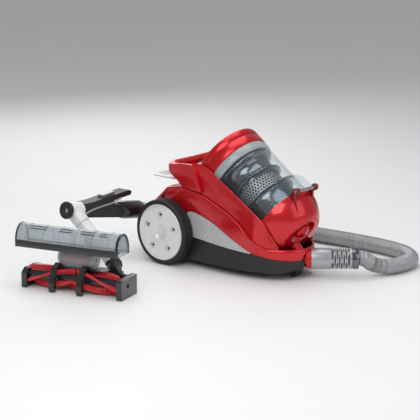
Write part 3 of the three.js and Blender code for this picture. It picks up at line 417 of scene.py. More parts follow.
@dataclass(frozen=True)
class CandyPlastic:
    """Deep coloured plastic with fine metal flake under a clear gloss coat."""

    name: str
    colour: Colour = (0.6, 0.002, 0.009)
    metallic: float = 0.45
    roughness: float = 0.3
    coat: float = 0.55

    def build(self) -> bpy.types.Material:
        """Builds the material.

        Returns:
            The material.
        """
        s = Shader(self.name)
        flake = s.noise(2600, 1.0)
        drift = s.noise(9, 2.0)
        share = flake * 0.6 + drift * 0.4
        sockets = {
            "Base Color": s.blend(share, tone(self.colour, 0.8), tone(self.colour, 1.2)),
            "Metallic": self.metallic,
            "Roughness": drift * 0.1 + (self.roughness - 0.05),
            "Coat Weight": self.coat,
            "Coat Roughness": 0.06,
            "Normal": s.bump(s.noise(420, 2.0), 0.00002),
        }
        return s.done(s.surface(sockets))


@dataclass(frozen=True)
class GrainedPlastic:
    """Moulded plastic with a fine eroded grain and a little wear."""

    name: str
    colour: Colour
    roughness: float = 0.5
    grain: float = 1500.0
    depth: float = 0.00005
    metallic: float = 0.0
    coat: float = 0.0

    def build(self) -> bpy.types.Material:
        """Builds the material.

        Returns:
            The material.
        """
        s = Shader(self.name)
        grain = s.noise(self.grain, 3.0, 0.6)
        drift = s.noise(24, 3.0)
        share = drift * 0.7 + grain * 0.3
        sockets = {
            "Base Color": s.blend(share, tone(self.colour, 0.82), tone(self.colour, 1.18)),
            "Metallic": self.metallic,
            "Roughness": drift * 0.16 + (self.roughness - 0.08),
            "Coat Weight": self.coat,
            "Coat Roughness": 0.1,
            "Normal": s.bump(grain, self.depth),
        }
        return s.done(s.surface(sockets))


@dataclass(frozen=True)
class SoftRubber:
    """Black rubber with a fine matt skin and dust in its pores."""

    name: str
    colour: Colour = (0.009, 0.009, 0.0095)

    def build(self) -> bpy.types.Material:
        """Builds the material.

        Returns:
            The material.
        """
        s = Shader(self.name)
        pores = s.cells(1400)
        dust = s.noise(60, 4.0) ** 2.0
        sockets = {
            "Base Color": s.blend(dust, self.colour, tone(self.colour, 2.6)),
            "Roughness": dust * 0.2 + 0.55,
            "Normal": s.bump(pores, 0.00004),
        }
        return s.done(s.surface(sockets))


class Lay(Enum):
    """How a pattern of holes lies on a panel."""

    SIDE = "side"
    WRAPPED = "wrapped"


@dataclass(frozen=True)
class Perforated:
    """A panel with fine round holes in staggered rows, dark inside."""

    name: str
    colour: Colour
    hole: Colour
    pitch: float
    radius: float
    lay: Lay = Lay.SIDE
    metallic: float = 0.4
    roughness: float = 0.38

    def build(self) -> bpy.types.Material:
        """Builds the material.

        Returns:
            The material.
        """
        s = Shader(self.name)
        x, y, z = s.axes(self.lay is Lay.WRAPPED)
        along, up = (x, y) if self.lay is Lay.WRAPPED else (x, z)
        row = up * (1 / (self.pitch * HEX_ROW))
        odd = row.floor() % 2.0 * 0.5
        u = (along * (1 / self.pitch) + odd) % 1.0 - 0.5
        v = (row % 1.0 - 0.5) * HEX_ROW
        reach = (u * u + v * v) ** 0.5
        solid = reach > self.radius / self.pitch
        drift = s.noise(30, 3.0)
        metal = s.node("ShaderNodeMix", {"data_type": "RGBA"}, {
            0: solid, 6: (*self.hole, 1.0),
            7: s.blend(drift, tone(self.colour, 0.85), tone(self.colour, 1.1)),
        })
        sockets = {
            "Base Color": metal.outputs[2],
            "Metallic": solid * self.metallic,
            "Roughness": 0.8 - solid * (0.8 - self.roughness),
            "Normal": s.bump(solid, 0.0003, 0.6),
        }
        return s.done(s.surface(sockets))


@dataclass(frozen=True)
class ClearPlastic:
    """Clear moulded plastic: seen through, with a gloss that grows at a glancing view."""

    name: str
    tint: Colour = (0.93, 0.96, 0.97)
    body: float = 0.05
    gloss: float = 1.0
    haze: float = 0.06

    def build(self) -> bpy.types.Material:
        """Builds the material.

        Returns:
            The material.
        """
        s = Shader(self.name)
        ripple = s.bump(s.noise(70, 1.0), 0.00006)
        weight = s.node("ShaderNodeLayerWeight", None, {"Blend": 0.22, "Normal": ripple})
        glance = Value(s, weight.outputs["Facing"])
        scuff = s.noise(160, 4.0) ** 3.0
        through = s.node("ShaderNodeBsdfTransparent", None, {"Color": (*self.tint, 1.0)})
        skin = s.surface({
            "Base Color": (*tone(self.tint, 0.9), 1.0),
            "Roughness": scuff * 0.2 + 0.03,
            "Coat Weight": 1.0,
            "Normal": ripple,
        })
        share = glance**2.2 * self.gloss + scuff * self.haze + self.body
        mixed = s.node("ShaderNodeMixShader", None, {0: share, 1: through.outputs[0], 2: skin.outputs[0]})
        return s.done(mixed)


@dataclass(frozen=True)
class BristleNylon:
    """Bright nylon filaments, streaked from root to tip."""

    name: str
    colour: Colour = (0.72, 0.01, 0.02)

    def build(self) -> bpy.types.Material:
        """Builds the material.

        Returns:
            The material.
        """
        s = Shader(self.name)
        streak = s.noise(1900, 2.0)
        sockets = {
            "Base Color": s.blend(streak, tone(self.colour, 0.55), tone(self.colour, 1.25)),
            "Roughness": streak * 0.2 + 0.45,
            "Sheen Weight": 0.3,
            "Normal": s.bump(streak, 0.0002),
        }
        return s.done(s.surface(sockets))


@dataclass(frozen=True)
class FilterPaper:
    """Off-white pleated paper, with painted shade ramped across each pleat."""

    name: str

    def build(self) -> bpy.types.Material:
        """Builds the material.

        Returns:
            The material.
        """
        s = Shader(self.name)
        x, _, _ = s.axes()
        fold_and_shade = (x * 260) % 1.0
        sockets = {
            # Painted shade: the colour darkens across each pleat, following the fold ramp, mixed with random
            # tone.
            "Base Color": s.blend(fold_and_shade * 0.6 + s.noise(400) * 0.4, (0.62, 0.61, 0.56), (0.86, 0.85, 0.8)),
            "Roughness": 0.9,
            "Normal": s.bump(fold_and_shade, 0.001),
        }
        return s.done(s.surface(sockets))


@dataclass(frozen=True)
class BrushedMetal:
    """Steel with fine scratches round or along it."""

    name: str
    colour: Colour = (0.5, 0.5, 0.52)

    def build(self) -> bpy.types.Material:
        """Builds the material.

        Returns:
            The material.
        """
        s = Shader(self.name)
        scratch = s.noise(900, 2.0, 0.7)
        sockets = {
            "Base Color": s.blend(scratch, tone(self.colour, 0.85), tone(self.colour, 1.1)),
            "Metallic": 1.0,
            "Roughness": scratch * 0.25 + 0.2,
            "Normal": s.bump(scratch, 0.00003),
        }
        return s.done(s.surface(sockets))


class Finish(Enum):
    """Every finish on the cleaner."""

    RED = CandyPlastic("red_shell")
    LID_RED = CandyPlastic("red_lid", metallic=0.6, roughness=0.34, coat=0.45)
    DEEP_RED = CandyPlastic("deep_red", (0.24, 0.002, 0.006), roughness=0.36)
    BLACK = GrainedPlastic("black_tub", (0.013, 0.0135, 0.015), 0.42)
    GLOSS_BLACK = GrainedPlastic("black_gloss", (0.014, 0.014, 0.016), 0.22, 300, 0.00001, coat=0.5)
    RUBBER = SoftRubber("black_rubber")
    WHITE = GrainedPlastic("white_hub", (0.78, 0.79, 0.8), 0.3, 700, 0.00001, 0.15, coat=0.4)
    WAND_WHITE = GrainedPlastic("white_wand", (0.82, 0.82, 0.83), 0.34, 700, 0.00001, coat=0.2)
    FROSTED = GrainedPlastic("frosted_pedal", (0.72, 0.74, 0.75), 0.32, 500, 0.00002, coat=0.4)
    SILVER = GrainedPlastic("silver_plastic", (0.42, 0.43, 0.45), 0.34, 900, 0.00001, 0.55, coat=0.2)
    HOSE = GrainedPlastic("silver_hose", (0.36, 0.37, 0.385), 0.4, 900, 0.00001, 0.45)
    SMOKE = GrainedPlastic("smoke_silver", (0.17, 0.18, 0.2), 0.16, 300, 0.00001, 0.95, coat=0.3)
    GRILLE = Perforated("side_grille", (0.72, 0.73, 0.74), (0.1, 0.104, 0.11), 0.0034, 0.001, metallic=0.2)
    MESH = Perforated(
        "cyclone_screen", (0.42, 0.42, 0.44), (0.01, 0.01, 0.011), 0.0082, 0.0028, Lay.WRAPPED, 0.5,
    )
    CLEAR = ClearPlastic("clear_bin", body=0.02, gloss=0.8, haze=0.02)
    RING = ClearPlastic("pale_ring", (0.8, 0.83, 0.86), 0.4)
    HOOD = ClearPlastic("clear_hood", (0.8, 0.83, 0.85), 0.22)
    BRISTLE = BristleNylon("red_bristle")
    PAPER = FilterPaper("filter_paper")
    STEEL = BrushedMetal("brushed_steel")
    DARK = GrainedPlastic("dark_seal", (0.03, 0.031, 0.034), 0.4, 600)


# Curve points between knots, weld distance in millimetres, and the angle in degrees that is rounded.
FINE_STEPS = 24
WELD = 0.02
CREASE = 28.0
MATERIALS: dict[Finish, bpy.types.Material] = {}


def material(finish: Finish) -> bpy.types.Material:
    """Gives a finish's material, built once.

    Args:
        finish: The finish.

    Returns:
        Its material.
    """
    if finish not in MATERIALS:
        MATERIALS[finish] = finish.value.build()
    return MATERIALS[finish]


# ---- Shapes -------------------------------------------------------------------
class Form:
    """A bmesh in millimetres that becomes one piece of the cleaner."""

    def __init__(self) -> None:
        """Starts empty."""
        self.bm = bmesh.new()

    def lathe(self, profile: Sequence[Point], place: Matrix | None = None, steps: int = 96) -> "Form":
        """Spins a chain of [radius, height] points about +Z.

        Args:
            profile: The points, from one end to the other.
            place: Where the turned shape goes.
            steps: How many sides it has.

        Returns:
            This form.
        """
        made = bmesh.new()
        ends = [made.verts.new((r, 0, z)) for r, z in profile]
        edges = [made.edges.new(pair) for pair in zip(ends, ends[1:])]
        bmesh.ops.spin(
            made, geom=[*ends, *edges], cent=(0, 0, 0), axis=(0, 0, 1), angle=2 * math.pi,
            steps=steps, use_merge=True, use_normal_flip=False, use_duplicate=False,
        )
        bmesh.ops.remove_doubles(made, verts=made.verts, dist=0.01)
        bmesh.ops.recalc_face_normals(made, faces=made.faces)
        return self.add(made, place)

    def loft(self, sections: Sequence[Sequence[Point]], place: Matrix | None = None) -> "Form":
        """Extrudes a face through closed sections that have as many points each.

        Args:
            sections: The corners of each section, in order along the shape.
            place: Where the shape goes.

        Returns:
            This form.
        """
        made = bmesh.new()
        face = made.faces.new([made.verts.new(p) for p in sections[0]])
        for section in sections[1:]:
            grown = bmesh.ops.extrude_face_region(made, geom=[face])["geom"]
            face = next(g for g in grown if isinstance(g, bmesh.types.BMFace))
            for vert, corner in zip([loop.vert for loop in face.loops], section):
                vert.co = corner
        bmesh.ops.recalc_face_normals(made, faces=made.faces)
        return self.add(made, place)

    def slab(self, outline: Sequence[Point], low: float, high: float) -> "Form":
        """Makes a flat outline in X and Z solid, from one Y to another."""
        sections = [[(x, y, z) for x, z in outline] for y in (low, high)]
        return self.loft(sections)

    def block(self, low: Point, high: Point, place: Matrix | None = None, soft: float = 0.0) -> "Form":
        """Adds a box between two corners, its edges softened.

        Args:
            low: One corner.
            high: The far corner.
            place: Where it goes.
            soft: The radius of its edges.

        Returns:
            This form.
        """
        made = bmesh.new()
        bmesh.ops.create_cube(made, size=1.0)
        size = Vector(high) - Vector(low)
        bmesh.ops.scale(made, vec=size, verts=made.verts)
        bmesh.ops.translate(made, vec=(Vector(low) + Vector(high)) / 2, verts=made.verts)
        if soft:
            bmesh.ops.bevel(
                made, geom=list(made.edges), offset=soft, affect="EDGES", segments=3, profile=0.5,
                material=-1,
            )
        return self.add(made, place)

    def tube(self, path: Sequence[Point], radii: Sequence[float], sides: int = 32) -> "Form":
        """Sweeps a circle along a path, with a radius at each of its points."""
        return self.loft(rings(path, radii, sides))

    def add(self, other: bmesh.types.BMesh, place: Matrix | None = None) -> "Form":
        """Takes in another bmesh, moved to its place.

        Args:
            other: What is taken in and freed.
            place: Where it goes.

        Returns:
            This form.
        """
        if place is not None:
            other.transform(place)
        carried = bpy.data.meshes.new("carried")
        other.to_mesh(carried)
        other.free()
        self.bm.from_mesh(carried)
        bpy.data.meshes.remove(carried)
        return self

    def bend(self, move: Callable[[Vector], Vector]) -> "Form":
        """Moves every vertex by a rule.

        Args:
            move: Gives the new place of an old one.

        Returns:
            This form.
        """
        for vert in self.bm.verts:
            vert.co = move(vert.co.copy())
        return self

    def mirrored(self) -> "Form":
        """Turns the form over to the body's other side.

        Returns:
            This form.
        """
        bmesh.ops.scale(self.bm, vec=(1, -1, 1), verts=self.bm.verts)
        bmesh.ops.reverse_faces(self.bm, faces=self.bm.faces)
        return self

    def wrap(self, place: Matrix, radius: float) -> "Form":
        """Lays coordinates in metres round a turned wall, about a frame's +Z.

        Args:
            place: The wall's own frame.
            radius: Its radius, in millimetres.

        Returns:
            This form.
        """
        inverse = place.inverted()
        layer = self.bm.loops.layers.uv.new("wrap")
        for face in self.bm.faces:
            middle = inverse @ face.calc_center_median()
            base = math.atan2(middle.y, middle.x)
            for loop in face.loops:
                p = inverse @ loop.vert.co
                turn = (math.atan2(p.y, p.x) - base + math.pi) % (2 * math.pi) - math.pi
                loop[layer].uv = ((base + turn) * radius * MM, p.z * MM)
        return self


@dataclass(frozen=True)
class Trim:
    """How a piece's edges and faces are finished."""

    bevel: float = 0.0
    segments: int = 3
    angle: float = 32.0
    cuts: tuple["Form", ...] = ()


def rings(path: Sequence[Point], radii: Sequence[float], sides: int) -> list[list[Vector]]:
    """Sets a circle square across a path at each of its points, without twist.

    Args:
        path: The points.
        radii: The radius at each.
        sides: How many corners a circle has.

    Returns:
        The circles, in order.
    """
    points = [Vector(p) for p in path]
    last = len(points) - 1
    aims = [(points[min(i + 1, last)] - points[max(i - 1, 0)]).normalized() for i in range(last + 1)]
    across = aims[0].orthogonal().normalized()
    found = []
    for point, aim, radius in zip(points, aims, radii):
        across = (across - aim * across.dot(aim)).normalized()
        other = aim.cross(across)
        turns = [2 * math.pi * k / sides for k in range(sides)]
        found.append([point + (across * math.cos(a) + other * math.sin(a)) * radius for a in turns])
    return found


def smooth_path(points: Sequence[Point], step: float) -> list[Vector]:
    """Runs a centripetal curve through points and spaces it evenly.

    Args:
        points: What the curve passes through.
        step: How far apart its points are.

    Returns:
        The points of the curve.
    """
    p = [Vector(q) for q in points]
    p = [2 * p[0] - p[1], *p, 2 * p[-1] - p[-2]]
    fine: list[Vector] = []
    for a, b, c, d in zip(p, p[1:], p[2:], p[3:]):
        t = [0.0]
        for u, v in ((a, b), (b, c), (c, d)):
            t.append(t[-1] + max((v - u).length, 1e-6) ** 0.5)
        for k in range(FINE_STEPS):
            s = t[1] + (t[2] - t[1]) * k / FINE_STEPS
            ab = (a * (t[1] - s) + b * (s - t[0])) / (t[1] - t[0])
            bc = (b * (t[2] - s) + c * (s - t[1])) / (t[2] - t[1])
            cd = (c * (t[3] - s) + d * (s - t[2])) / (t[3] - t[2])
            abc = (ab * (t[2] - s) + bc * (s - t[0])) / (t[2] - t[0])
            bcd = (bc * (t[3] - s) + cd * (s - t[1])) / (t[3] - t[1])
            fine.append((abc * (t[2] - s) + bcd * (s - t[1])) / (t[2] - t[1]))
    fine.append(p[-2])
    return spaced(fine, step)


def spaced(line: Sequence[Vector], step: float) -> list[Vector]:
    """Gives the line again with points about a step apart.

    Args:
        line: The points.
        step: How far apart they should be.

    Returns:
        The new points, both ends kept.
    """
    along = [0.0]
    for a, b in zip(line, line[1:]):
        along.append(along[-1] + (b - a).length)
    count = max(2, round(along[-1] / step) + 1)
    found, i = [], 0
    for k in range(count):
        want = along[-1] * k / (count - 1)
        while i < len(line) - 2 and along[i + 1] < want:
            i += 1
        share = (want - along[i]) / max(along[i + 1] - along[i], 1e-9)
        found.append(line[i].lerp(line[i + 1], min(1.0, max(0.0, share))))
    return found


def settled(piece: bpy.types.Object) -> None:
    """Bakes a piece's modifiers into its mesh.

    Args:
        piece: The piece.
    """
    view = bpy.context.evaluated_depsgraph_get()
    view.update()
    baked = bpy.data.meshes.new_from_object(piece.evaluated_get(view))
    old = piece.data
    piece.modifiers.clear()
    piece.data = baked
    bpy.data.meshes.remove(old)


def carve(piece: bpy.types.Object, cutters: Iterable[Form]) -> None:
    """Cuts each form out of a piece.

    Args:
        piece: The piece.
        cutters: What is cut out, in millimetres.
    """
    for form in cutters:
        form.bm.transform(TO_ROW)
        shape = bpy.data.meshes.new("cutter")
        form.bm.to_mesh(shape)
        form.bm.free()
        cutter = bpy.data.objects.new("cutter", shape)
        bpy.context.collection.objects.link(cutter)
        step = piece.modifiers.new("carve", "BOOLEAN")
        step.operation = "DIFFERENCE"
        step.solver = "EXACT"
        step.object = cutter
        settled(piece)
        bpy.data.objects.remove(cutter)
        bpy.data.meshes.remove(shape)


def piece(
    name: str, form: Form, finish: Finish, body: str, slot: str, nodes: Sequence[str] = (),
    trim: Trim = Trim(),
) -> bpy.types.Object:
    """Turns a form into a finished piece of the cleaner.

    Args:
        name: The piece's name.
        form: Its shape, in the canister's millimetres.
        finish: What it is made of.
        body: The moving body it rides on.
        slot: The record's material slot; not used.
        nodes: The CAD nodes it stands for.
        trim: How its edges are finished.

    Returns:
        The piece.
    """
    form.bm.transform(TO_ROW)
    shape = bpy.data.meshes.new(name)
    form.bm.to_mesh(shape)
    form.bm.free()
    made = bpy.data.objects.new(name, shape)
    bpy.context.collection.objects.link(made)
    carve(made, trim.cuts)
    if trim.bevel:
        bevel = made.modifiers.new("bevel", "BEVEL")
        bevel.width = trim.bevel * MM
        bevel.segments = trim.segments
        bevel.limit_method = "ANGLE"
        bevel.angle_limit = math.radians(trim.angle)
        bevel.harden_normals = False
        settled(made)
    shape = made.data
    shape.polygons.foreach_set("use_smooth", [True] * len(shape.polygons))
    shape.set_sharp_from_angle(angle=math.radians(trim.angle))
    shape.materials.clear()
    shape.materials.append(material(finish))
    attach(made, body)
    if nodes:
        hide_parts(*nodes)
    LOG.info("%s: %d faces", name, len(shape.polygons))
    return made


def dress(finish: Finish, *nodes: str) -> None:
    """Gives CAD nodes that keep their shape a finish.

    Args:
        finish: What they are made of.
        nodes: The nodes.
    """
    for name in nodes:
        node = frame["nodes"][name]
        node.data.materials.clear()
        node.data.materials.append(material(finish))
        LOG.info("%s dressed", name)


def at(node: str) -> str:
    """Gives the moving body that a CAD node belongs to."""
    return frame["nodes"][node]["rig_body"]


def soften(finish: Finish, width: float, *nodes: str) -> None:
    """Rounds the edges of CAD nodes that keep their shape, and gives them a finish.

    Args:
        finish: What they are made of.
        width: The radius of their edges, in millimetres.
        nodes: The nodes.
    """
    dress(finish, *nodes)
    for name in nodes:
        node = frame["nodes"][name]
        stored = node.data.attributes.get("custom_normal")
        if stored is not None:
            node.data.attributes.remove(stored)
        node.data.polygons.foreach_set("use_smooth", [True] * len(node.data.polygons))
        weld = node.modifiers.new("weld", "WELD")
        weld.merge_threshold = WELD * MM
        bevel = node.modifiers.new("bevel", "BEVEL")
        bevel.width = width * MM
        bevel.segments = 3
        bevel.limit_method = "ANGLE"
        bevel.angle_limit = math.radians(CREASE)
        bevel.use_clamp_overlap = True
        bevel.harden_normals = True


class Side(Enum):
    """The two sides of the body."""

    RIGHT = -1
    LEFT = 1

    @property
    def word(self) -> str:
        """The side's name, as the CAD nodes have it."""
        return self.name.lower()


# ---- Assemblies ---------------------------------------------------------------
@dataclass(frozen=True)
class Wheels:
    """The two rear wheels: a rubber tyre round a white disc with five dimples."""

    radius: float = WHEEL_R
    hub_r: float = 71.0
    inner: float = 107.5
    outer: float = 141.5
    dimples: int = 5
    dimple_r: float = 8.0
    dimple_at: float = 45.0

    def build(self) -> None:
        """Builds both wheels."""
        for side in Side:
            s = side.value
            place = aimed((AXLE_X, 0, self.radius), (AXLE_X, s, self.radius))
            self._tyre(side, place)
            self._hub(side, place)

    def dress(self) -> None:
        """Finishes the axles."""
        soften(Finish.STEEL, 0.8, "right_axle", "left_axle")

    def _tyre(self, side: Side, place: Matrix) -> None:
        """Builds one tyre, its tread cut by three fine grooves.

        Args:
            side: The side it is on.
            place: The wheel's frame, +Z outwards.
        """
        r, low, high, bore = self.radius, self.inner, self.outer, self.hub_r + 0.5
        tread = []
        for z in spread(low + 8, high - 8, 3):
            tread += [(r, z - 1.4), (r - 1.2, z - 1.0), (r - 1.2, z + 1.0), (r, z + 1.4)]
        profile = [
            (bore, low + 1), (bore + 1, low), (r - 5, low), (r - 1.6, low + 1.6), (r - 0.2, low + 4.5),
            *tread,
            (r - 0.2, high - 4.5), (r - 1.5, high - 1.8), (r - 4, high - 0.3), (bore + 3.4, high),
            (bore + 1, high - 0.6), (bore, high - 2), (bore, low + 1),
        ]
        form = Form().lathe(profile, place, 144)
        node = f"{side.word}_tyre"
        piece(f"{node}_skin", form, Finish.RUBBER, at(node), "rubber", [node], Trim(angle=50))

    def _hub(self, side: Side, place: Matrix) -> None:
        """Builds one disc, dished in the middle, with its ring of dimples.

        Args:
            side: The side it is on.
            place: The wheel's frame, +Z outwards.
        """
        r, face = self.hub_r, self.outer
        profile = [
            (0, face - 9.4), (8, face - 8.9), (14, face - 7.0), (18.4, face - 3.6), (20.2, face - 1.7),
            (23, face - 1.3), (28, face - 1.9), (36, face - 1.3), (50, face - 0.2), (62, face + 0.8),
            (66.5, face + 0.9), (69.4, face + 0.1), (r, face - 2), (r, self.inner + 3),
            (r - 3, self.inner + 1.5),
            (r - 8, self.inner + 4), (r - 11, face - 11), (14, face - 11), (12, self.inner + 2),
            (6.7, self.inner + 2), (6.7, face - 11.6), (0, face - 11.6),
        ]
        turns = [2 * math.pi * (i + 0.25) / self.dimples for i in range(self.dimples)]
        spots = [(self.dimple_at * math.cos(a), self.dimple_at * math.sin(a)) for a in turns]
        cutter, pegs = Form(), Form()
        wide = self.dimple_r
        hole = [(0, -5), (wide - 1.6, -5), (wide - 0.4, -2), (wide + 0.6, 1.6), (0, 1.6)]
        peg = [(0, -5.4), (2.8, -5.4), (2.6, -2.4), (1.8, -1.7), (0, -1.7)]
        for x, y in spots:
            spot = place @ Matrix.Translation((x, y, face - 0.4))
            cutter.lathe(hole, spot, 28)
            pegs.lathe(peg, spot, 18)
            pegs.block((-4.6, -0.6, -5.4), (4.6, 0.6, -3.2), spot @ Matrix.Rotation(0.7, 4, "Z"), 0.2)
        node = f"{side.word}_hub"
        disc = Form().lathe(profile, place, 144)
        piece(f"{node}_disc", disc, Finish.WHITE, at(node), "white", [node], Trim(angle=34, cuts=(cutter,)))
        piece(f"{node}_screws", pegs, Finish.DARK, at(node), "black")


@dataclass(frozen=True)
class Shells:
    """The red shells of the body, the side grilles, the tub below and the bumper."""

    wall: float = 7.0
    rail_wall: float = 4.0
    rail_out: float = RAIL_HALF
    split: float = -104.0
    tail: float = -205.0
    fender_ends: tuple[float, float] = (-146.0, 158.0)
    grille_ends: tuple[float, float] = (-102.0, 116.0)
    rail_front: float = 180.0
    rail_low: float = 78.6
    deck_low: float = 100.5
    stations: int = 90

    def build(self) -> None:
        """Builds the shells."""
        for side in Side:
            self._fender(side)
            self._rail(side)
            self._grille(side)
        self._deck()
        self._bumper()

    def dress(self) -> None:
        """Finishes the pieces that keep their shape."""
        soften(Finish.BLACK, 1.6, "chassis")
        soften(Finish.BLACK, 0.8, "bin_cradle", "cord_gland")
        soften(Finish.RED, 1.0, "inlet_elbow")

    def _add(self, name: str, form: Form, side: Side, finish: Finish, slot: str) -> None:
        """Adds one side's shell in place of its CAD node.

        Args:
            name: The node's name without its side.
            form: The left side's shape.
            side: The side it goes on.
            finish: What it is made of.
            slot: The record's material slot.
        """
        node = f"{side.word}_{name}"
        if side is Side.RIGHT:
            form.mirrored()
        piece(f"{node}_shell", form, finish, at(node), slot, [node], Trim(angle=58))

    def _fender(self, side: Side) -> None:
        """Builds a fender: a tall smooth wall with a crisp rolled crest along its top.

        Args:
            side: The side it is on.
        """
        sections = []
        for x in spread(*self.fender_ends, self.stations):
            y, top = PLAN(x), RIDGE(x)
            low = ARCH(x) if x <= BELT_FRONT[0] else belt(x) + 0.4
            low = min(low, top - 4)
            tall = top - low
            f = min(1.0, tall / 24)
            flare = max(0.0, rail_foot(x) + 7.4 - y)
            shape = (
                (6.6, low + f), (2.2, low), (0.5, low + 1.2 * f), (0, low + 4 * f), (0, low + 0.5 * tall),
                (0.5, top - 7 * f), (1.4, top - 3 * f), (2.6, top - 0.6 * f), (3.8, top), (5, top - 1.2 * f),
                (6.4, top - 4 * f), (self.wall, top - 7 * f), (self.wall, low + 0.5 * tall),
                (self.wall, low + 3 * f),
            )
            sections.append([(x, y - u + flare * ((z - low) / tall) ** 1.5, z) for u, z in shape])
        self._add("fender", Form().loft(sections), side, Finish.RED, "red")

    def _rail(self, side: Side) -> None:
        """Builds a rail: the wall that leans up from the fender's crest to hold the bin.

        Args:
            side: The side it is on.
        """
        sections = []
        for x in spread(self.split + 0.6, self.rail_front, self.stations):
            top = RAIL_TOP(x)
            low = max(RIDGE(x) - 4, self.rail_low) if x < self.fender_ends[1] else self.rail_low
            foot = rail_foot(x)
            lean = min(1.0, (top - low) / 50)
            head = foot + (min(self.rail_out, RAIL_PLAN(x)) - foot) * lean
            f = min(1.0, (top - low) / 12)
            w = self.rail_wall
            middle = (foot + head) / 2
            sections.append([(x, y, z) for y, z in (
                (foot, low), (foot, low + 1.5 * f), (middle + 0.4, (low + top) / 2), (head, top - 5 * f),
                (head - 0.4, top - 2.4 * f), (head - 1.3, top - 0.5 * f), (head - 2, top),
                (head - 2.8, top - 0.5 * f),
                (head - w + 0.4, top - 2.4 * f), (head - w, top - 5 * f), (middle - w, (low + top) / 2),
                (foot - w, low + 1.5 * f), (foot - w, low),
            )])
        self._add("rail", Form().loft(sections), side, Finish.RED, "red")

    def _grille(self, side: Side) -> None:
        """Builds a perforated grille between the tub and the fender's arch.

        Args:
            side: The side it is on.
        """
        sections = []
        for x in spread(*self.grille_ends, 60):
            y, low, top = PLAN(x) - 1.5, belt(x) + 0.5, ARCH(x) - 0.6
            top = max(top, low + 0.8)
            rows = spread(low, top, 6)
            bulge = [0.0, 0.5, 0.8, 0.8, 0.5, 0.0]
            face = [(x, y + b, z) for z, b in zip(rows, bulge)]
            sections.append(face + [(x, y - 3, z) for z in reversed(rows)])
        self._add("grille", Form().loft(sections), side, Finish.GRILLE, "grille")

    def _deck(self) -> None:
        """Builds the rear deck: a faceted cover over the cord reel."""
        knots = ((self.tail, 146), (-162, 187), (self.split, 197))
        sections = []
        for x in [self.tail, -200, -190, -176, -166, -162, -158, -140, -120, self.split]:
            i = 1 if x <= -162 else 2
            (x0, z0), (x1, z1) = knots[i - 1], knots[i]
            top = z0 + (z1 - z0) * (x - x0) / (x1 - x0)
            half, low = self.rail_out, self.deck_low
            drops = ((0, 16), (2.5, 7), (9, 2), (20, 0))
            outer = [(-half, low)] + [(-half + u, top - drop) for u, drop in drops]
            outer += [(-y, z) for y, z in reversed(outer)]
            inner = [(y * 0.97, z - (0 if z == low else 4)) for y, z in reversed(outer)]
            sections.append([(x, y, z) for y, z in outer + inner])
        form = Form().loft(sections)
        edge = self.rail_out - 1
        form.block((self.tail, -edge, self.deck_low), (self.tail + 3, edge, 143), None, 0.8)
        piece("rear_deck_shell", form, Finish.RED, at("rear_deck"), "red", ["rear_deck"], Trim(1.6, 3, 20))

    def _bumper(self) -> None:
        """Builds the red band round the nose, cut away for the inlet."""
        start = next(t for t in spread(0, 1, 400) if PLAN.point(t)[0] >= 152.6)
        half = [PLAN.point(t) for t in spread(start, 1, 40)]
        line = [Vector((x, y, 0)) for x, y in half] + [Vector((x, -y, 0)) for x, y in reversed(half[:-1])]
        sections = []
        for i, p in enumerate(line):
            along = (line[min(i + 1, len(line) - 1)] - line[max(i - 1, 0)]).normalized()
            out = Vector((-along.y, along.x, 0))
            low = belt(p.x) + 0.4
            sections.append([p + out * u + Vector((0, 0, z)) for u, z in (
                (-6.5, low), (-1.4, low), (-0.3, low + 0.8), (0, low + 2.4), (0, 71), (-0.5, 74.6),
                (-1.8, 77),
                (-3.6, 78), (-5.4, 77.6), (-self.wall, 76), (-self.wall, low + 1),
            )])
        way = Form().lathe([(0, -60), (26.6, -60), (26.6, 40), (0, 40)], INLET, 64)
        form = Form().loft(sections)
        trim = Trim(angle=40, cuts=(way,))
        piece("bumper_band", form, Finish.RED, at("front_bumper"), "red", ["front_bumper"], trim)


@dataclass(frozen=True)
class Handle:
    """The carry handle: a round bar across the back that runs into a blade on each side."""

    bar_r: float = 11.6
    bar_x: float = -156.0
    bar_z: float = 240.2
    side_y: float = 93.9
    blade_ends: tuple[float, float] = (-140.0, -34.0)
    blade_in: float = 98.7
    blade_out: float = 105.8
    clear_x: float = -106.0

    def build(self) -> None:
        """Builds the handle."""
        half = [
            (-96, -self.side_y, 243), (-116, -self.side_y, 241.5), (-132, -self.side_y + 2, 240.4),
            (-146, -self.side_y + 10, 240), (self.bar_x + 2, -self.side_y + 26, self.bar_z + 0.6),
            (self.bar_x, -40, self.bar_z),
        ]
        knots = half + [(self.bar_x, 0, self.bar_z - 0.4)] + [(x, -y, z) for x, y, z in reversed(half)]
        line = smooth_path(knots, 4)
        form = Form().tube(line, [self.bar_r] * len(line), 36)
        form.bend(self._keep_clear)
        top = Track((
            (-140, 240), (-136, 246.5), (-124, 251.4), (-98, 256.6), (-66, 258), (-57, 251), (-34, 198),
        ))
        low = Track((
            (-140, 236), (-136, 229), (-128, 223), (-114, 214.6), (-100, 203), (-88, 198.6), (-60, 196),
            (-34, 193),
        ))
        xs = spread(*self.blade_ends, 60)
        outline = [(x, top(x)) for x in xs] + [(x, low(x)) for x in reversed(xs)]
        for s in (-1, 1):
            form.slab(outline, s * self.blade_in, s * self.blade_out)
        trim = Trim(3.3, 5, 35)
        piece("handle_loop", form, Finish.RED, at("carry_handle"), "red", ["carry_handle"], trim)

    def _keep_clear(self, p: Vector) -> Vector:
        """Keeps the loop outside the rails where it runs beside them.

        Args:
            p: A place on the loop.

        Returns:
            The place, moved out where it must be.
        """
        edge = self.blade_in - 0.1
        if p.x > self.clear_x and abs(p.y) < edge:
            p.y = math.copysign(edge, p.y)
        return p


